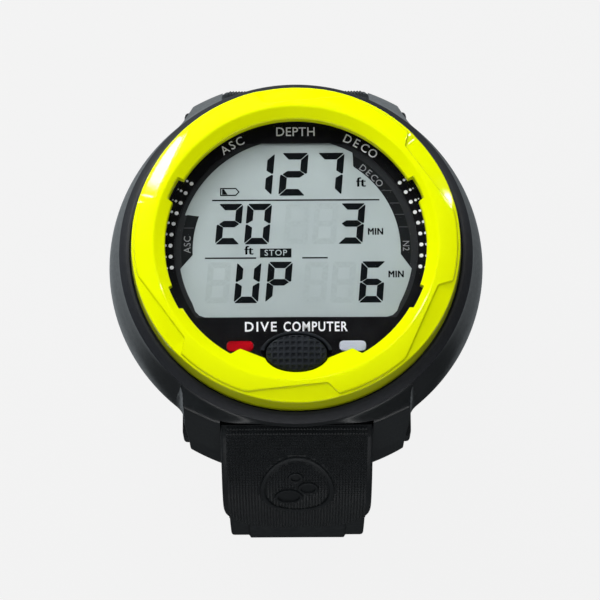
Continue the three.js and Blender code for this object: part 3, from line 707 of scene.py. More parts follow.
def front_case():
    degrees = even_and_dense(45, 60, 0.2)
    wall = through(WALL, 44)
    z = np.concatenate([wall[:, 1], [-16.6, -17.2, -17.8, LUG_TIP + 0.12]])
    bowl = np.concatenate([wall[:, 0], [WALL[-1][0]] * 4])
    radii = case_radius(degrees, z, bowl)
    foot = np.maximum(radii[:, -1:] - 0.35, 30)
    ones = np.ones((len(degrees), 1))
    bore = RIM_SEAT[0][0]
    all_r = np.hstack([*(ones * r for r, _ in RIM_SEAT), radii, foot, ones * bore])
    all_z = np.hstack([*(ones * h for _, h in RIM_SEAT), ones * z, ones * LUG_TIP, ones * LUG_TIP])
    item = ring_of_sections(polar(all_r, all_z, degrees))
    far = 60
    tools = [block(-far, far, -35, 35, LUG_TIP - 3, SPLIT)]
    for side in (-1, 1):
        near, beyond = sorted((side * SLOT_WALL, side * far))
        slot = plate(box_outline(SLOT_HALF, 10.0, 0.25, 0, SLOT_ROOF - 10.0), near, beyond)
        slot.data.transform(Matrix(((1, 0, 0, 0), (0, 0, 1, 0), (0, 1, 0, 0), (0, 0, 0, 1))))
        slot.data.flip_normals()
        tools += [slot, rod(0.85, SLOT_HALF + 2.3, side * BAR_Y, BAR_Z)]
    tools.append(block(-SLOT_HALF, SLOT_HALF, 34.4, far, -12, -2.0))
    tools.append(plate(chorded(33, -26.6, 26.6), SPLIT - 4, -3))
    cut(item, *tools)
    piece(item, "front_case", "root", "case_plastic", "case_front", sharp=38)


def rim_band():
    """The sloping rim that frames the bezel is rougher than the walls below it. Its colour is painted lighter
    and bluer than theirs, as painted light for the light its upward slope catches.
    """
    piece(lathe(RIM_OUTLINE, 256), "case_rim", "root", "case_plastic", sharp=60, material=RIM_PAINTED_LIGHTER)


SCREWS = [(-18.9, -29.4), (18.9, -29.4), (18.9, 29.4), (-18.9, 29.4)]
SENSOR_X = 24.5
PINS = (-4, 0, 4)                # places of the data contacts along Y


def eased_hole(radius, ease, depth, x, y, count=48):
    """A cutter for a hole in the case back, with its mouth eased."""
    return turned([(0, BACK - 1), (radius + ease, BACK - 1), (radius + ease, BACK), (radius, BACK + ease),
                   (radius, BACK + depth), (0, BACK + depth)], 0, count, x, y)


def rear_case():
    degrees = even_and_dense(50, 62, 0.25)
    a = folded(degrees)
    box = soft_min(23.1 / np.maximum(np.cos(a), 1e-3), 34.6 / np.maximum(np.sin(a), 1e-3), 1.6)
    plan = soft_max(np.full_like(box, WALL[-1][0]), box, 0.8)
    rows = [(-0.9, BACK), (-0.42, BACK + 0.1), (-0.12, BACK + 0.4), (0, BACK + 0.9), (0, SPLIT - 1.2),
            (0, SPLIT - 0.3)]
    centre = [(0.01, SPLIT - 0.3), (0.01, BACK)]
    ones = np.ones_like(plan)
    radii = np.hstack([*(plan + inset for inset, _ in rows), *(ones * r for r, _ in centre)])
    heights = np.hstack([ones * z for _, z in rows + centre])
    item = ring_of_sections(polar(radii, heights, degrees))
    hollow = plate(chorded(31.3, -26, 26), BACK + 2, SPLIT + 1)
    battery_cup = turned([(0, -24), (18.6, -24), (18.6, -16.5), (15.2, -12.2), (0, -12.2)], 0)
    cut(hollow, battery_cup)
    opening = turned([(0, BACK - 1), (17.3, BACK - 1), (17.3, BACK), (17.0, BACK + 0.3), (17.0, -19.6),
                      (15.9, -19.6), (15.9, -17.3), (13.6, -17.3), (13.6, -14.6), (0, -14.6)])
    tools = [hollow, opening]
    for side in (-1, 1):
        near, far = sorted((side * 30.8, side * 45))
        tools.append(block(-15.95, 15.95, near, far, BACK - 1, SPLIT + 1))
    tools += [eased_hole(2.5, 0.25, 2.7, x, y) for x, y in SCREWS]
    tools += [eased_hole(3.5, 0.3, 1.1, SENSOR_X, 0), post(2.2, BACK + 1, BACK + 2.9, SENSOR_X, 0, 48)]
    tools += [eased_hole(1.3, 0.15, 2.9, -SENSOR_X, y, 32) for y in PINS]
    groove = turned([(28.3, BACK - 1), (28.9, BACK - 1), (28.9, BACK + 0.25), (28.3, BACK + 0.25)])
    cut(groove, plate(box_outline(6.5, 60, 0.5), BACK - 2, BACK + 1))
    tools.append(groove)
    cut(item, *tools)
    piece(item, "rear_case", "root", "case_plastic", "case_rear", sharp=38)


def screws():
    outline = [(0, -9.2), (0.6, -9.2), (1.1, -9.9), (1.1, -19.6), (2.2, -19.6), (2.2, -21.2), (2.0, -21.4),
               (0, -21.4)]
    for i, (x, y) in enumerate(SCREWS):
        screw = turned(outline, 0, 48, x, y)
        cut(screw, post(1.1, -22, -20.4, x, y, 6))
        piece(screw, f"screw_{i + 1}", "root", "steel", f"case_screw_{i + 1}")


def back_fittings():
    cover = post(3.2, BACK + 0.1, BACK + 0.8, SENSOR_X, 0, 64, 0.12)
    holes = [post(0.4, BACK - 1, BACK + 2, SENSOR_X + x, y, 20) for x, y in
             (on_circle(1.6, 72 * k) for k in range(5))]
    cut(cover, *holes)
    piece(cover, "depth_sensor_cover", "root", "steel", "sensor_cover")
    for k, y in enumerate(PINS):
        outline = [(0, BACK + 0.1), (1.0, BACK + 0.15), (1.0, -18.5), (0, -18.5)]
        pin = turned(outline, 0.2, 40, -SENSOR_X, y)
        piece(pin, f"data_pin_{k + 1}", "root", "brass", f"data_contact_{k + 1}")


def hatch():
    lid = turned([(0, BACK + 0.35), (10.4, BACK + 0.35), (10.9, BACK), (12.9, BACK), (12.9, -19.9),
                  (15.6, -19.9), (15.6, -18.9), (13.0, -18.9), (13.0, -17.9), (0, -17.9)], 0.2, 160)
    bars = [block(-3.2, 3.2, y - 0.35, y + 0.35, BACK + 0.1, BACK + 1, 0.1) for y in (-1.5, 0, 1.5)]
    whole = gathered("lid", lid, *bars)
    piece(whole, "battery_lid", "battery_hatch", "case_plastic", "hatch_lid")
    ring = turned([(13.2, BACK), (16.7, BACK), (16.7, -20.2), (13.2, -20.2)], 0.25, 192)
    grips = [plate(box_outline(3.2, 0.9, 0.8, 0, side * 15.1), BACK - 1, BACK + 1.1) for side in (-1, 1)]
    ticks = []
    for k in range(24):
        if k % 12 in (5, 6, 7):
            continue
        tick = plate(box_outline(0.28, 0.8, 0.2, 0, 15.3), BACK - 1, BACK + 0.35)
        tick.data.transform(Matrix.Rotation(math.radians(15 * k + 90), 4, "Z"))
        ticks.append(tick)
    cut(ring, *grips, *ticks)
    piece(ring, "battery_lock_ring", "hatch_lock", "case_plastic", "hatch_ring")


# ---------------------------------------------------------------- lens, dial and display

LIGHT_X, LIGHT_Y = 11.15, -20.0
RING_RADIUS = 23.4               # the display's own round edge
LEFT_BLOCK, RIGHT_BLOCK = 20.65, 20.95
DIAL_PRINT = 0.012


def lens():
    item = post(LENS_RADIUS, LENS_UNDER, LENS_TOP, count=128, round_by=0.1)
    cut(item, plate(ellipse(0, BUTTON_Y, 6.6, 4.25, 64), -1, 4))
    piece(item, "lens_window", "root", "lens", "lens")


def light_outline(side, margin):
    return box_outline(2.65 + margin, 1.05 + margin, 1 + margin, side * LIGHT_X, LIGHT_Y)


def dial():
    item = post(26.9, -0.3, 0, count=160)
    cut(item, plate(chorded(24.4, -14.2, 22.3), -1, 1), post(3.6, -1, 1, 0, BUTTON_Y),
        plate(light_outline(-1, 0.08), -1, 1), plate(light_outline(1, 0.08), -1, 1))
    piece(item, "dial_face", "root", "dial_black", "dial_mask")
    for side, name, slot in ((-1, "alarm", "red_plastic"), (1, "status", "white_gloss")):
        pipe = plate(light_outline(side, 0), -4.9, 0.1, 0.12)
        piece(pipe, f"{name}_light", "root", slot, f"{name}_light_pipe")


def display_aperture():
    """The part of the display that shows: a circle with level cuts and a block at each side."""
    top = math.degrees(math.asin(22.8 / RING_RADIUS))
    outline = arc(0, 0, RING_RADIUS, top, 60.7, 8)
    outline += arc(0, 0, RIGHT_BLOCK, 55.8, -2.6, 30)
    outline += arc(0, 0, RING_RADIUS, -9.8, -28, 12)
    corner = [(20.05, -12.7), (19.2, -13.55), (18.1, -13.92)]
    outline += corner + [(-x, y) for x, y in corner[::-1]]
    outline += arc(0, 0, RING_RADIUS, 208, 189.5, 12)
    outline += arc(0, 0, LEFT_BLOCK, 182.7, 160, 14)
    outline += arc(0, 0, RING_RADIUS, 161.7, 180 - top, 30)
    return outline


def divider(y, inner, outer, side):
    """A short level line between two circles round the display."""
    near, far = sorted(side * math.sqrt(radius ** 2 - y ** 2) for radius in (inner, outer))
    return block(near, far, y - 0.09, y + 0.09, LCD_TOP + 0.07, LCD_TOP + 0.08)


def display():
    glass = plate(chorded(25.2, -15.8, 25.15, 64), -2.1, LCD_TOP)
    piece(glass, "display_glass", "root", "lcd_grey", "lcd_panel")
    mask = plate(chorded(25.0, -15.6, 24.9, 64), LCD_TOP + 0.002, LCD_TOP + 0.05)
    cut(mask, plate(display_aperture(), -2, 1))
    piece(mask, "display_mask", "root", "dial_black", material=LCD_MASK)
    blocks = []
    for radius, start, end, low in ((LEFT_BLOCK, 160, 182.7, 188.3), (RIGHT_BLOCK, 56.5, -2.6, -8.4)):
        high = 161.2 if start > 90 else 59.8
        outline = arc(0, 0, radius + 0.06, start, end, 24) + arc(0, 0, 22.95, low, high, 24)
        blocks.append(plate(outline, LCD_TOP + 0.05, LCD_TOP + 0.07))
    piece(gathered("blocks", *blocks), "display_blocks", "root", "dial_black", material=MASK_DARK)
    lines = [divider(y, 21.2, 22.9, 1) for y in (12.34, 9.7, 7.3, 4.69)]
    lines.append(divider(4.65, 20.9, 22.9, -1))
    piece(gathered("lines", *lines), "display_dividers", "root", "dial_black", material=MASK_LINE)


SEGMENTS = {
    "0": "abcdef", "1": "bc", "2": "abged", "3": "abgcd", "4": "fgbc", "5": "afgcd", "6": "afgecd",
    "7": "abc", "8": "abcdefg", "9": "abcdfg", "U": "bcdef", "P": "abefg",
}
SLANT = 0.085


def segment_outline(name, w, h, t, gap):
    """One of a digit's seven strokes, upright and with its foot at y = 0."""
    mid = h / 2
    level = {
        "a": [(gap, h), (w - gap, h), (w - t - gap, h - t), (t + gap, h - t)],
        "d": [(gap, 0), (t + gap, t), (w - t - gap, t), (w - gap, 0)],
        "g": [(0.25 * t + gap, mid), (t, mid + t / 2), (w - t, mid + t / 2), (w - 0.25 * t - gap, mid),
              (w - t, mid - t / 2), (t, mid - t / 2)],
    }
    if name in level:
        return level[name]
    left = [(0, h - gap - 0.1), (t, h - t - gap), (t, mid + t / 2 + gap), (0.2 * t, mid + gap),
            (0, mid + gap + 0.15)]
    points = left if name in "fb" else [(x, h - y) for x, y in left]
    return points if name in "fe" else [(w - x, y) for x, y in points]


def digit(character, x, y, w, h, t, low, high, gap=0.07):
    shells = []
    for name in SEGMENTS[character]:
        outline = corner_rounded(segment_outline(name, w, h, t, gap), 0.14, 2)
        shells.append(plate([(x + px + SLANT * py, y + py) for px, py in outline], low, high))
    return shells


INK_LOW, INK_HIGH = LCD_TOP + 0.004, LCD_TOP + 0.02
ROW_1, ROW_2, ROW_3 = 11.35, 1.2, -11.0


def text_shell(words, x, y, height, low, high, turn=0.0, bold=0.0, spacing=1.0, width=1.0):
    """Level or turned lettering centred on (x, y), with capitals of the given height."""
    curve = bpy.data.curves.new("words", "FONT")
    curve.body = words
    curve.align_x = "CENTER"
    curve.align_y = "CENTER"
    curve.size = height / 0.69
    curve.offset = bold
    curve.space_character = spacing
    curve.resolution_u = 3
    curve.extrude = (high - low) / 2
    item = placed("words", curve)
    mesh = bpy.data.meshes.new_from_object(item.evaluated_get(bpy.context.evaluated_depsgraph_get()))
    discard(item)
    mesh.transform(Matrix.Diagonal((width, 1, 1, 1)))
    mesh.transform(Matrix.Translation((x, y, (low + high) / 2)) @ Matrix.Rotation(math.radians(turn), 4, "Z"))
    return placed("words", mesh)


def heavy_text(words, x, y, height, low, high, weight=0.07, width=1.0):
    """Heavy lettering, made of shells side by side."""
    return [text_shell(words, x + dx, y, height, low, high, spacing=1.1, width=width)
            for dx in (-weight, 0, weight)]


def arc_text(words, radius, centre, height, low, high, advance, bold=0.0, width=1.0):
    """Lettering that follows a circle, read clockwise, centred at an angle in degrees."""
    shells = []
    first = -(len(words) - 1) / 2
    for i, letter in enumerate(words):
        degrees = centre - math.degrees((first + i) * advance / radius)
        x, y = on_circle(radius, degrees)
        shells.append(text_shell(letter, x, y, height, low, high, degrees - 90, bold, width=width))
    return shells


def display_ink():
    ink = []
    for character, x in (("1", -10.3), ("2", -3.5), ("7", 3.75)):
        ink += digit(character, x, ROW_1, 5.4, 9.05, 1.42, INK_LOW, INK_HIGH)
    for character, x in (("2", -16.2), ("0", -10.4), ("3", 8.35)):
        ink += digit(character, x, ROW_2, 4.95, 8.5, 1.35, INK_LOW, INK_HIGH)
    for character, x in (("U", -12.45), ("P", -6.2), ("6", 12.35)):
        ink += digit(character, x, ROW_3, 4.85, 8.55, 1.35, INK_LOW, INK_HIGH)
    for x0, x1, y in ((-16.8, 16.8, 10.42), (-18.2, -7.95, -1.67), (1.25, 6.35, -1.67)):
        ink.append(block(x0, x1, y - 0.15, y + 0.15, INK_LOW, INK_HIGH))
    ink.append(block(-7.2, -0.9, -1.58, 0.3, INK_LOW, INK_HIGH))
    level = (INK_LOW, INK_HIGH)
    ink += heavy_text("ft", 13.15, 14.05, 1.95, *level, weight=0.1)
    ink += heavy_text("ft", -9.4, -0.15, 1.8, *level, weight=0.1)
    ink += heavy_text("MIN", 15.95, 3.7, 1.4, *level, width=0.82)
    ink += heavy_text("MIN", 19.95, -5.2, 1.4, *level, width=0.82)
    shell = [(-15.2, 11.35), (-12.0, 11.35), (-11.25, 12.2), (-12.0, 13.05), (-15.2, 13.05)]
    hollow = [(-14.95, 11.6), (-12.1, 11.6), (-11.55, 12.2), (-12.1, 12.8), (-14.95, 12.8)]
    battery = plate(shell, *level)
    ink.append(cut(battery, plate(hollow, -1, 0)))
    ink.append(plate([(-14.8, 11.65), (-13.7, 11.65), (-14.4, 12.75), (-14.8, 12.75)], *level))
    piece(gathered("ink", *ink), "display_ink", "root", "dial_black", sharp=20, material=LCD_INK)
    stop = text_shell("STOP", -4.05, -0.64, 1.2, INK_HIGH, INK_HIGH + 0.01, bold=0.01, spacing=1.15)
    piece(stop, "display_stop_sign", "root", "lcd_grey", sharp=20)


def display_ghosts():
    """Unlit segments that show faintly."""
    ghosts = []
    low, high = LCD_TOP + 0.001, LCD_TOP + 0.003
    for x in (-2.6, 3.1):
        ghosts += digit("8", x, ROW_2, 4.85, 8.5, 1.2, low, high)
    for x in (-18.2, 1.2, 6.7):
        ghosts += digit("8", x, ROW_3, 4.65, 8.5, 1.2, low, high)
    whole = gathered("ghosts", *ghosts)
    piece(whole, "display_unlit_segments", "root", "lcd_grey", sharp=20, material=LCD_GHOST)


def dial_print():
    low, high = 0.001, DIAL_PRINT
    dots = []
    for k in range(9):
        degrees = 33.4 - 5.25 * k
        for angle in (degrees, 180 - degrees):
            for radius, size in ((25.07, 0.4), (26.1, 0.27)):
                x, y = on_circle(radius, angle)
                dots.append(plate(ellipse(x, y, size, size, 20), low, high))
    for degrees in (28.15, 22.9):
        for angle in (degrees, 180 - degrees):
            x, y = on_circle(26.75, angle)
            dots.append(plate(ellipse(x, y, 0.16, 0.16, 14), low, high))
    piece(gathered("dots", *dots), "dial_dots", "root", "white_gloss", sharp=20, material=WHITE_INK)
    white = arc_text("ASC", 25.25, 120.3, 1.75, low, high, 1.75, 0.02, 0.95)
    white += arc_text("DECO", 25.3, 58.8, 1.75, low, high, 1.95, 0.02, 0.95)
    white.append(text_shell("DEPTH", 0, 24.62, 1.85, low, high, bold=0.02, spacing=1.05, width=0.95))
    white.append(text_shell("DIVE", -7.1, -16.15, 1.9, low, high, bold=0.05, spacing=1.25, width=0.95))
    white.append(text_shell("COMPUTER", 3.75, -16.15, 1.9, low, high, bold=0.05, spacing=1.15, width=0.8))
    piece(gathered("white", *white), "dial_legends", "root", "white_gloss", sharp=20, material=WHITE_INK)
    low, high = LCD_TOP + 0.07, LCD_TOP + 0.08
    grey = [text_shell("ASC", -21.65, 1.2, 1.35, low, high, 90, 0.0, 1.1, 0.95)]
    grey += arc_text("DECO", 21.75, 45.6, 1.35, low, high, 1.5)
    grey.append(text_shell("N2", 21.95, 0.75, 1.3, low, high, -90, 0.0, 1.05, 0.9))
    piece(gathered("grey", *grey), "display_legends", "root", "white_plastic", sharp=20, material=GREY_INK)


# ---------------------------------------------------------------- push button

KNURL_PITCH = 1.2


def push_button():
    """An oval cap with a shallow dome and a square grid of pockets between ribs."""
    half_x, half_y = 6.02, 3.75
    count_u, count_v = 150, 96
    u, v = np.meshgrid(np.linspace(-1, 1, count_u), np.linspace(-1, 1, count_v))
    x = half_x * u * np.sqrt(1 - v ** 2 / 2)
    y = half_y * v * np.sqrt(1 - u ** 2 / 2)
    out = np.sqrt((x / half_x) ** 2 + (y / half_y) ** 2)
    edge = np.maximum(1 - out, 0) * half_y
    ease = 0.7
    fall = ease - np.sqrt(np.maximum(ease ** 2 - np.maximum(ease - edge, 0) ** 2, 0))
    ribs = np.maximum(np.abs(np.cos(np.pi * x / KNURL_PITCH)), np.abs(np.cos(np.pi * y / KNURL_PITCH)))
    pockets = 0.35 * smooth_step((0.92 - ribs) / 0.28) * smooth_step((edge - 0.12) / 0.25)
    z = BUTTON_TOP - 0.45 * out ** 2 - fall - pockets
    top = np.stack([x, y + BUTTON_Y, z], -1)
    base = np.stack([x, y + BUTTON_Y, np.full_like(z, 1.3)], -1)
    cap = patch(top, base, np.ones((count_v - 1, count_u - 1), bool))
    piece(cap, "button_cover", "button", "button_rubber", "button_cap", sharp=60)


def button_brow():
    """A low ridge on the lens over the button, like an eyelid."""
    sections = []
    degrees = np.linspace(12, 168, 60)
    for d in degrees:
        a = math.radians(d)
        ease = smooth_step(np.array([(d - 12) / 25, (168 - d) / 25])).min()
        row = []
        for k in range(8):
            b = 2 * math.pi * k / 8
            grow = 0.75 + 0.34 * math.cos(b)
            height = LENS_TOP + 0.28 * max(0.05, ease) * math.sin(b) if math.sin(b) > -0.1 else 0.05
            row.append(((6.15 + grow) * math.cos(a), BUTTON_Y + (3.8 + grow * 0.9) * math.sin(a), height))
        sections.append(row)
    brow = capped_tube(np.array(sections))
    piece(brow, "button_brow", "root", "button_rubber", sharp=60)


def return_spring():
    """The button's spring at its pressed length, so that it clears the gland when the button is down."""
    turns, radius, low, high, wire = 3, 2.35, 1.25, 2.6, 0.2
    around = np.radians(np.arange(0, 360, 36))[None, :]
    angle = np.linspace(0, 2 * np.pi * turns, 48 * turns)[:, None]
    rise = low + (high - low) * angle / angle[-1]
    out = radius + wire * np.cos(around)
    points = np.stack([out * np.cos(angle), BUTTON_Y + out * np.sin(angle), rise + wire * np.sin(around)], -1)
    coil = capped_tube(points)
    piece(coil, "return_spring", "button", "steel", "button_spring", sharp=60)


# ---------------------------------------------------------------- strap

PAD_PROUD = 0.22                 # the pad's floor above the strap line; its knurls rise higher
KNURL_RISE = 0.24
THICKNESS = 3.4
TUCK = 0.9                       # how far the very start of the strap dips under the case
BAND_HALF = 14.05
RIB_HALF = 10.0
BARREL = 3.7


class StrapLine:
    """The strap's outer line in the side view. Slope 0 faces the sky, 90 outwards and 180 the ground."""

    def __init__(self, side, start, slope, stretches, dip=0.0, step=0.25):
        self.side = side
        self.dip = dip
        y, z = start
        rows = [(0.0, y, z, slope)]
        length = 0.0
        for to, reach_by in stretches:
            count = max(1, round(reach_by / step))
            bend, run = (to - slope) / count, reach_by / count
            for _ in range(count):
                a = math.radians(slope + bend / 2)
                y += side * math.cos(a) * run
                z -= math.sin(a) * run
                slope += bend
                length += run
                rows.append((length, y, z, slope))
        self.rows = np.array(rows)
        self.end = length

    def at(self, s, x, h):
        """Points from lengths along the line, places across it and heights off it."""
        s, x, h = np.broadcast_arrays(np.asarray(s, float), np.asarray(x, float), np.asarray(h, float))
        y, z, slope = (np.interp(s, self.rows[:, 0], self.rows[:, k]) for k in (1, 2, 3))
        a = np.radians(slope)
        h = h - self.dip * (1 - smooth_step((s - 12) / 16)) - TUCK * (1 - smooth_step(s / 2.2))
        return np.stack([x, y + self.side * np.sin(a) * h, z + np.cos(a) * h], -1)

    def length_at_height(self, z):
        """Where the line passes a height on its way down."""
        order = np.argsort(-self.rows[:, 2])
        return np.interp(-np.asarray(z), -self.rows[order, 2], self.rows[order, 0])


LONG = StrapLine(-1, (-35.4, -3.9), 38,
                 [(70, 17), (83, 7.7), (90, 24), (180, 47.12), (180, 28.5), (198.5, 11.2)])
SHORT = StrapLine(1, (35.2, -3.8), 68, [(72, 16), (90, 26), (126.5, 22.07)], dip=1.1)


def tongue_end(line, x, tip, shoulder):
    """How far along the line the pad reaches at a place across it.

    Seen from the front its end is a round tongue, from tip in the middle up to shoulder at the sides.
    """
    fullness = 2.4
    across = np.clip(np.abs(x) / PAD_HALF, 0, 1)
    return line.length_at_height(shoulder - (shoulder - tip) * (1 - across ** fullness) ** (1 / fullness))


def sheet_between(line, s, x, high, low):
    """A closed slab over grids of lengths and places, between two heights off the line."""
    keep = np.ones((s.shape[0] - 1, s.shape[1] - 1), bool)
    return patch(line.at(s, x, high), line.at(s, x, low), keep)


def pad_body(line, tip, shoulder):
    """The smooth body of the pad, with its edges rounded."""
    ease = 0.7
    across = np.concatenate([[-1], -1 + ease / PAD_HALF * np.array([0.05, 0.15, 0.3, 0.6, 1]),
                             np.linspace(-0.9, 0.9, 31),
                             1 - ease / PAD_HALF * np.array([1, 0.6, 0.3, 0.15, 0.05]), [1]])
    x = across * PAD_HALF
    end = tongue_end(line, x, tip, shoulder)
    t = np.linspace(0, 1, 70)
    s = end[None, :] - ease * np.array([0, 0.05, 0.15, 0.3, 0.6])[::-1, None]
    body = t[:, None] * (end - ease)[None, :]
    s = np.vstack([body, s])
    x = np.broadcast_to(x, s.shape)
    edge = np.minimum(PAD_HALF - np.abs(x), end[None, :] - s)
    edge = np.clip(edge, 0, ease)
    high = PAD_PROUD - ease + np.sqrt(np.maximum(ease ** 2 - (ease - edge) ** 2, 0))
    low = -THICKNESS + 0.5 + 1.2 * (1 - smooth_step(s / 4))
    return sheet_between(line, s, x, high, low)


BADGE_S, BADGE_X_HALF, BADGE_S_HALF = 17.0, 7.0, 9.6
BUBBLES = [(-1.7, 19.4, 2.5), (2.2, 16.2, 1.75), (-0.3, 12.7, 1.2)]  # x, s and radius
KNURL_X, KNURL_S = 0.61, 0.8     # pitch of the pad's pyramids across and along it


def badge_distance(s, x, grow=0.0):
    """Below 1 inside the badge's oval and above 1 outside."""
    return np.hypot(x / (BADGE_X_HALF + grow), (s - BADGE_S) / (BADGE_S_HALF + grow))


def knurls(line, tip, shoulder, start, badge):
    """Rows of small pyramids on the pad, clear of its edges and of the badge's ring."""
    half_count = int((PAD_HALF - 0.75) / KNURL_X)
    columns = np.arange(-2 * half_count, 2 * half_count + 1) * KNURL_X / 2
    last = float(tongue_end(line, 0.0, tip, shoulder))
    rows = np.arange(start, last, KNURL_S / 2)
    s, x = np.meshgrid(rows, columns, indexing="ij")
    peak = (np.arange(len(rows)) % 2 == 1)[:, None] & (np.arange(len(columns)) % 2 == 1)[None, :]
    high = PAD_PROUD + 0.01 + KNURL_RISE * peak
    pyramid_r = (np.arange(len(rows) - 1) // 2)
    pyramid_c = (np.arange(len(columns) - 1) // 2)
    centre_s = rows[0] + (pyramid_r + 0.5) * KNURL_S
    centre_x = columns[0] + (pyramid_c + 0.5) * KNURL_X
    cs, cx = np.meshgrid(centre_s, centre_x, indexing="ij")
    keep = cs < tongue_end(line, cx, tip, shoulder) - 0.9
    if badge:
        ring = (badge_distance(cs, cx, 0.75) < 1) & (badge_distance(cs, cx, -0.75) > 1)
        motif = np.zeros_like(ring)
        for bx, bs, r in BUBBLES:
            motif |= np.hypot(cx - bx, cs - bs) < r + 0.55
        keep &= ~ring & ~motif
    return patch(line.at(s, x, high), line.at(s, x, np.full_like(s, PAD_PROUD - 0.25)), keep)


def ring_on_line(line, s0, x0, half_s, half_x, width, rise):
    """A raised oval band on the strap."""
    sections = []
    for d in np.linspace(0, 360, 97)[:-1]:
        a = math.radians(d)
        row_s, row_x, row_h = [], [], []
        profile = [(-1, -0.2), (-1, 0.5), (-0.75, 0.9), (-0.3, 1), (0.3, 1), (0.75, 0.9), (1, 0.5), (1, -0.2)]
        for off, h in profile:
            grow = off * width / 2
            row_s.append(s0 + (half_s + grow) * math.sin(a))
            row_x.append(x0 + (half_x + grow) * math.cos(a))
            row_h.append(PAD_PROUD + rise * h)
        sections.append(line.at(row_s, row_x, row_h))
    return ring_of_sections(np.array(sections))


def badge(line):
    """A plain oval ring round three bubbles."""
    shells = [ring_on_line(line, BADGE_S, 0, BADGE_S_HALF, BADGE_X_HALF, 1.0, 0.42)]
    for x, s, r in BUBBLES:
        shells.append(ring_on_line(line, s, x, r, r, 0.6, 0.38))
    return shells


def strap_root(line):
    """The thick root that wraps the spring bar, as one side-view outline."""
    s = np.linspace(0, 16, 20)
    skin = line.at(s, 0, PAD_PROUD - 0.75)[:, 1:]
    foot = line.at(16, 0, -THICKNESS + 0.45)[1:]
    side = line.side
    centre = np.array([side * BAR_Y, BAR_Z])
    start = 250 if side > 0 else 290
    around = arc(*centre, BARREL, start, start - side * 150, 18)
    outline = [tuple(p) for p in skin] + [tuple(foot)] + around
    web = sideways(corner_rounded(outline, 0.25, 2), PAD_HALF - 0.05, 0.35)
    return cut(web, rod(1.2, 20, *centre))


def band(line, start, rib_start, tip_radius, rib_end):
    """The strap's flat band with a raised rib down its middle and a rounded end."""
    flat = -0.6
    corner = [(-BAND_HALF, -THICKNESS), (BAND_HALF, -THICKNESS), (BAND_HALF, flat), (RIB_HALF + 0.25, flat),
              (RIB_HALF - 0.1, 0), (-RIB_HALF + 0.1, 0), (-RIB_HALF - 0.25, flat), (-BAND_HALF, flat)]
    section = np.array(corner_rounded(corner, [0.6, 0.6, 0.7, 0.3, 0.3, 0.3, 0.3, 0.7], 4))
    straight = line.end - tip_radius
    s = np.linspace(start, straight, 150)
    if tip_radius:
        turn = np.radians(np.linspace(0, 88, 26))
        s = np.concatenate([s[:-1], straight + tip_radius * np.sin(turn)])
    over = np.maximum(s - straight, 0)
    half = BAND_HALF - tip_radius + np.sqrt(np.maximum(tip_radius ** 2 - over ** 2, 0))
    rib = smooth_step((s - rib_start) / 1.2) * smooth_step((rib_end - s) / 1.2)
    x = section[None, :, 0] * (half / BAND_HALF)[:, None]
    level = section[None, :, 1]
    h = np.where(level > flat, flat + (level - flat) * rib[:, None], level)
    points = line.at(np.broadcast_to(s[:, None], x.shape), x, h)
    return capped_tube(points)


def strap_hole(line, s):
    """An oval cutter through the strap, with a countersunk mouth."""
    outline = [(0, -7), (1.25, -7), (1.25, -0.35), (1.6, 0.05), (1.6, 3), (0, 3)]
    item = lathe(outline, 36)
    item.data.transform(Matrix.Diagonal((1.5, 1, 1, 1)))
    y, z, slope = (float(np.interp(s, line.rows[:, 0], line.rows[:, k])) for k in (1, 2, 3))
    turn = Matrix.Rotation(-line.side * math.radians(slope), 4, "X")
    item.data.transform(Matrix.Translation((0, y, z)) @ turn)
    return item


def long_strap():
    tip, shoulder = -41.5, -24.0
    tail = band(LONG, 15, 30, 11, LONG.end - 6)
    cut(tail, *(strap_hole(LONG, LONG.end - 12 - 6.5 * i) for i in range(8)))
    pad = [pad_body(LONG, tip, shoulder), strap_root(LONG), knurls(LONG, tip, shoulder, 0.15, True)]
    whole = gathered("long_half", tail, *pad, *badge(LONG))
    piece(whole, "long_half", "long_strap", "strap_rubber", "strap_long", sharp=30)


BEND_RADIUS = 34.65
CREST_OF_BEND = SHORT.at(42, 0, 0)
BEND_CENTRE = (CREST_OF_BEND[1] - BEND_RADIUS, CREST_OF_BEND[2])


def on_bend(degrees, off):
    a = np.radians(degrees)
    return BEND_CENTRE[0] + (BEND_RADIUS + off) * np.cos(a), BEND_CENTRE[1] - (BEND_RADIUS + off) * np.sin(a)


PIN_ANGLE = 36.5
PIN_Y, PIN_Z = on_bend(PIN_ANGLE, -THICKNESS / 2)


def bend_slab(start, end, inner, outer, half_width, bevel=0.0):
    degrees = np.linspace(start, end, max(3, int((end - start) / 1.5)))
    outline = [on_bend(d, outer) for d in degrees] + [on_bend(d, inner) for d in degrees[::-1]]
    return sideways(outline, half_width, bevel)


def short_strap():
    tip, shoulder = -36.0, -22.0
    tail = band(SHORT, 15, 30, 0, SHORT.end - 4)
    barrel = rod(2.6, BAND_HALF - 0.02, PIN_Y, PIN_Z, 40, 0.4)
    tail = fuse(tail, barrel)
    cut(tail, rod(1.1, 20, PIN_Y, PIN_Z),
        block(-2.4, 2.4, PIN_Y - 7, PIN_Y + 5, PIN_Z - 6, PIN_Z + 2.9))
    pad = [pad_body(SHORT, tip, shoulder), strap_root(SHORT), knurls(SHORT, tip, shoulder, 0.15, False)]
    whole = gathered("short_half", tail, *pad)
    piece(whole, "short_half", "short_strap", "strap_rubber", "strap_short", sharp=30)


def keeper(name, body, node, degrees):
    """A rubber hoop round the short half."""
    half, inner, outer = 5.0, -THICKNESS - 0.4, 3.5
    wall = 1.4
    hoop = bend_slab(degrees - half, degrees + half, inner - wall, outer + wall, BAND_HALF + 1.9, 0.9)
    cut(hoop, bend_slab(degrees - half - 2, degrees + half + 2, inner, outer, BAND_HALF + 0.4))
    piece(hoop, name, body, "strap_rubber", node, sharp=40)


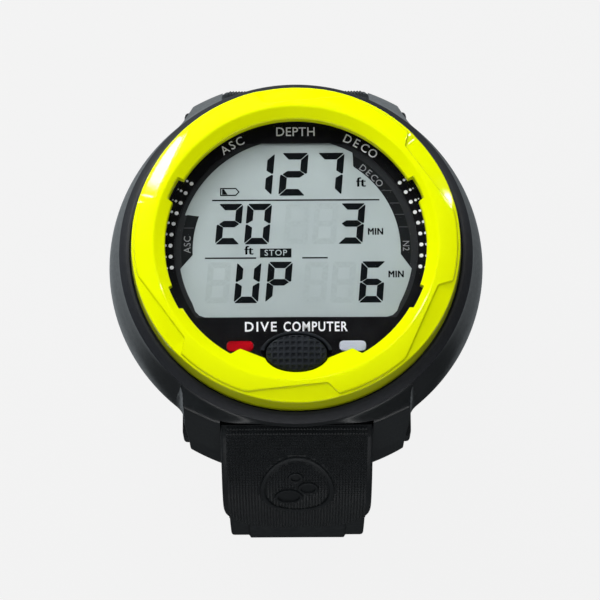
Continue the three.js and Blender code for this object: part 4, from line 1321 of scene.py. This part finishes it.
def buckle():
    outer = bend_slab(PIN_ANGLE - 4.2, 68, -THICKNESS, -0.2, 18)
    cut(outer, bend_slab(PIN_ANGLE - 7, 63, -THICKNESS - 2, 3, BAND_HALF + 0.5), rod(1.1, 17, PIN_Y, PIN_Z))
    rounded(outer, 0.7, 3, 50)
    piece(outer, "buckle_loop", "buckle", "buckle_plastic", "buckle_frame")
    tongue = bend_slab(PIN_ANGLE + 3, 67, 0.1, 1.6, 1.5, 0.4)
    rise = bend_slab(PIN_ANGLE + 1, PIN_ANGLE + 8, -1.6, 1.6, 1.5, 0.2)
    eye = rod(2.1, 1.5, PIN_Y, PIN_Z, 36, 0.2)
    prong = cut(fuse(tongue, rise, eye), rod(1.1, 5, PIN_Y, PIN_Z))
    piece(prong, "buckle_tongue", "prong", "steel", "buckle_prong")
    pin = rod(0.8, 16.7, PIN_Y, PIN_Z, 32, 0.2)
    piece(pin, "buckle_axle", "short_strap", "steel", "buckle_pin")


def spring_bars():
    half = PAD_HALF - 0.3
    outline = [(0, -half - 2.4), (0.5, -half - 2.4), (0.55, -half), (0.9, -half), (0.9, half), (0.55, half),
               (0.5, half + 2.4), (0, half + 2.4)]
    for side, hour in ((-1, 6), (1, 12)):
        bar = along_x(turned(outline, 0.1, 32), side * BAR_Y, BAR_Z)
        piece(bar, f"strap_bar_{hour}", "root", "steel", f"spring_bar_{hour}")


# ---------------------------------------------------------------- inner nodes, camera, lights and stage


def finish_inner_nodes():
    """CAD nodes inside the head keep their shape and get the finish of their material slot."""
    slots = {part["node"]: part["material_slot"] for part in frame["record"]["subparts"]}
    for name, node in frame["nodes"].items():
        if node.hide_render:
            continue
        for holder in node.material_slots:
            holder.material = MATERIALS[slots[name]]
        if not node.material_slots:
            node.data.materials.append(MATERIALS[slots[name]])


VIEW_TILT = math.radians(16.6)
VIEW_DISTANCE = 0.573


def camera():
    data = bpy.data.cameras.new("camera")
    data.sensor_width = 36
    data.lens = 171.9
    data.clip_start, data.clip_end = 0.05, 10
    item = placed("camera", data)
    centre = Vector((0, 0, DIAL_HEIGHT))
    item.location = centre + VIEW_DISTANCE * Vector((0, -math.sin(VIEW_TILT), math.cos(VIEW_TILT)))
    aim = centre + Vector((0.76, -9.7, -2.9)) * MM
    item.rotation_euler = (aim - item.location).to_track_quat("-Z", "Y").to_euler()
    bpy.context.scene.camera = item


def area(name, direction, distance, width, height, strength, centre=None, along=(0, 0, 1), glossy=True,
         diffuse=True, color=(1, 1, 1)):
    """A softbox that faces the dial from a direction, or one at a centre that faces against the direction.

    Its strength is its brightness, and its height runs along the last direction given.
    """
    data = bpy.data.lights.new(name, "AREA")
    data.shape = "RECTANGLE"
    data.size, data.size_y = width, height
    data.energy = strength * width * height * math.pi
    data.color = color
    item = placed(name, data)
    toward = Vector(direction).normalized()
    item.location = Vector(centre) if centre else Vector((0, 0, DIAL_HEIGHT)) + toward * distance
    up = Vector(along)
    up = (up - up.dot(toward) * toward).normalized()
    item.rotation_euler = Matrix((up.cross(toward), up, toward)).transposed().to_euler()
    item.visible_camera = False
    item.visible_transmission = glossy
    item.visible_glossy = glossy
    item.visible_diffuse = diffuse
    return item


COOL = (0.86, 0.95, 1.0)
BACKDROP = 0.875                 # brightness of the floor and of what the camera sees past it


def stage():
    world = bpy.data.worlds.new("studio")
    bpy.context.scene.world = world
    world.use_nodes = True
    nodes, links = world.node_tree.nodes, world.node_tree.links
    with_inputs(nodes["Background"], Color=(0.9, 0.95, 1.0, 1), Strength=0.04)
    backdrop = with_inputs(nodes.new("ShaderNodeBackground"), Strength=BACKDROP)
    seen = nodes.new("ShaderNodeMixShader")
    links.new(nodes.new("ShaderNodeLightPath").outputs["Is Camera Ray"], seen.inputs["Fac"])
    links.new(nodes["Background"].outputs["Background"], seen.inputs[1])
    links.new(backdrop.outputs["Background"], seen.inputs[2])
    links.new(seen.outputs["Shader"], nodes["World Output"].inputs["Surface"])
    finish = Finish("floor", (0.02, 0.02, 0.02), 0.9, Specular_IOR_Level=0.0,
                    Emission_Color=(1, 1, 1, 1), Emission_Strength=BACKDROP)
    face = finish.node("ShaderNodeNewGeometry")
    finish.mottle(60, 0.01).clear_where(face.outputs["Backfacing"])
    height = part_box("strap_long")[0].z - 0.0001
    mesh = bpy.data.meshes.new("floor")
    corners = [(x, y, height) for x, y in ((-3, -3), (3, -3), (3, 3), (-3, 3))]
    mesh.from_pydata(corners, [], [(0, 1, 2, 3)])
    floor = placed("floor", mesh)
    mesh.materials.append(finish.material)
    floor.visible_diffuse = False
    floor.visible_glossy = False
    area("overhead", (0.05, 0.0, 1), 1.0, 1.2, 1.2, 0.9, along=(0, 1, 0), glossy=False)
    area("key", (-0.085, 0.19, 0.19), 0.282, 0.2, 0.2, 7.0, glossy=False)
    area("front", (-0.1, -0.85, 0.5), 0.8, 1.7, 0.34, 0.95, glossy=False)
    area("low_front", (0, -0.985, 0.17), 0.8, 1.7, 0.2, 3.2, diffuse=False)
    area("highlight", (-0.556, 0.608, 0.585), 1.0, 0.15, 0.24, 38, along=(-0.307, 0.18, -0.345),
         diffuse=False)
    area("glint", (0.595, 0.516, 0.613), 1.0, 0.05, 0.34, 42, along=(0.307, 0.1, -0.345), diffuse=False)
    card_z = height + 0.001
    for name, x0, x1, y0, y1, glow in (("left_card", -0.7, -0.048, -0.035, 0.7, 0.72),
                                       ("back_card", -0.048, 0.048, 0.06, 0.7, 0.6),
                                       ("right_card", 0.048, 0.7, -0.025, 0.7, 0.42),
                                       ("front_card", -0.5, 0.5, -0.5, -0.055, 0.08)):
        centre = ((x0 + x1) / 2, (y0 + y1) / 2, card_z)
        area(name, (0, 0, -1), 0, x1 - x0, y1 - y0, glow, centre, (0, 1, 0), diffuse=False, color=COOL)


def main():
    bpy.context.scene.view_settings.view_transform = "Standard"
    bezel()
    front_case()
    rim_band()
    rear_case()
    screws()
    back_fittings()
    hatch()
    lens()
    dial()
    display()
    display_ink()
    display_ghosts()
    dial_print()
    push_button()
    button_brow()
    return_spring()
    long_strap()
    short_strap()
    keeper("keeper_bound", "short_strap", "keeper_fixed", 26.5)
    keeper("keeper_loose", "loose_keeper", "keeper_free", 12.0)
    buckle()
    spring_bars()
    finish_inner_nodes()
    camera()
    stage()


main()
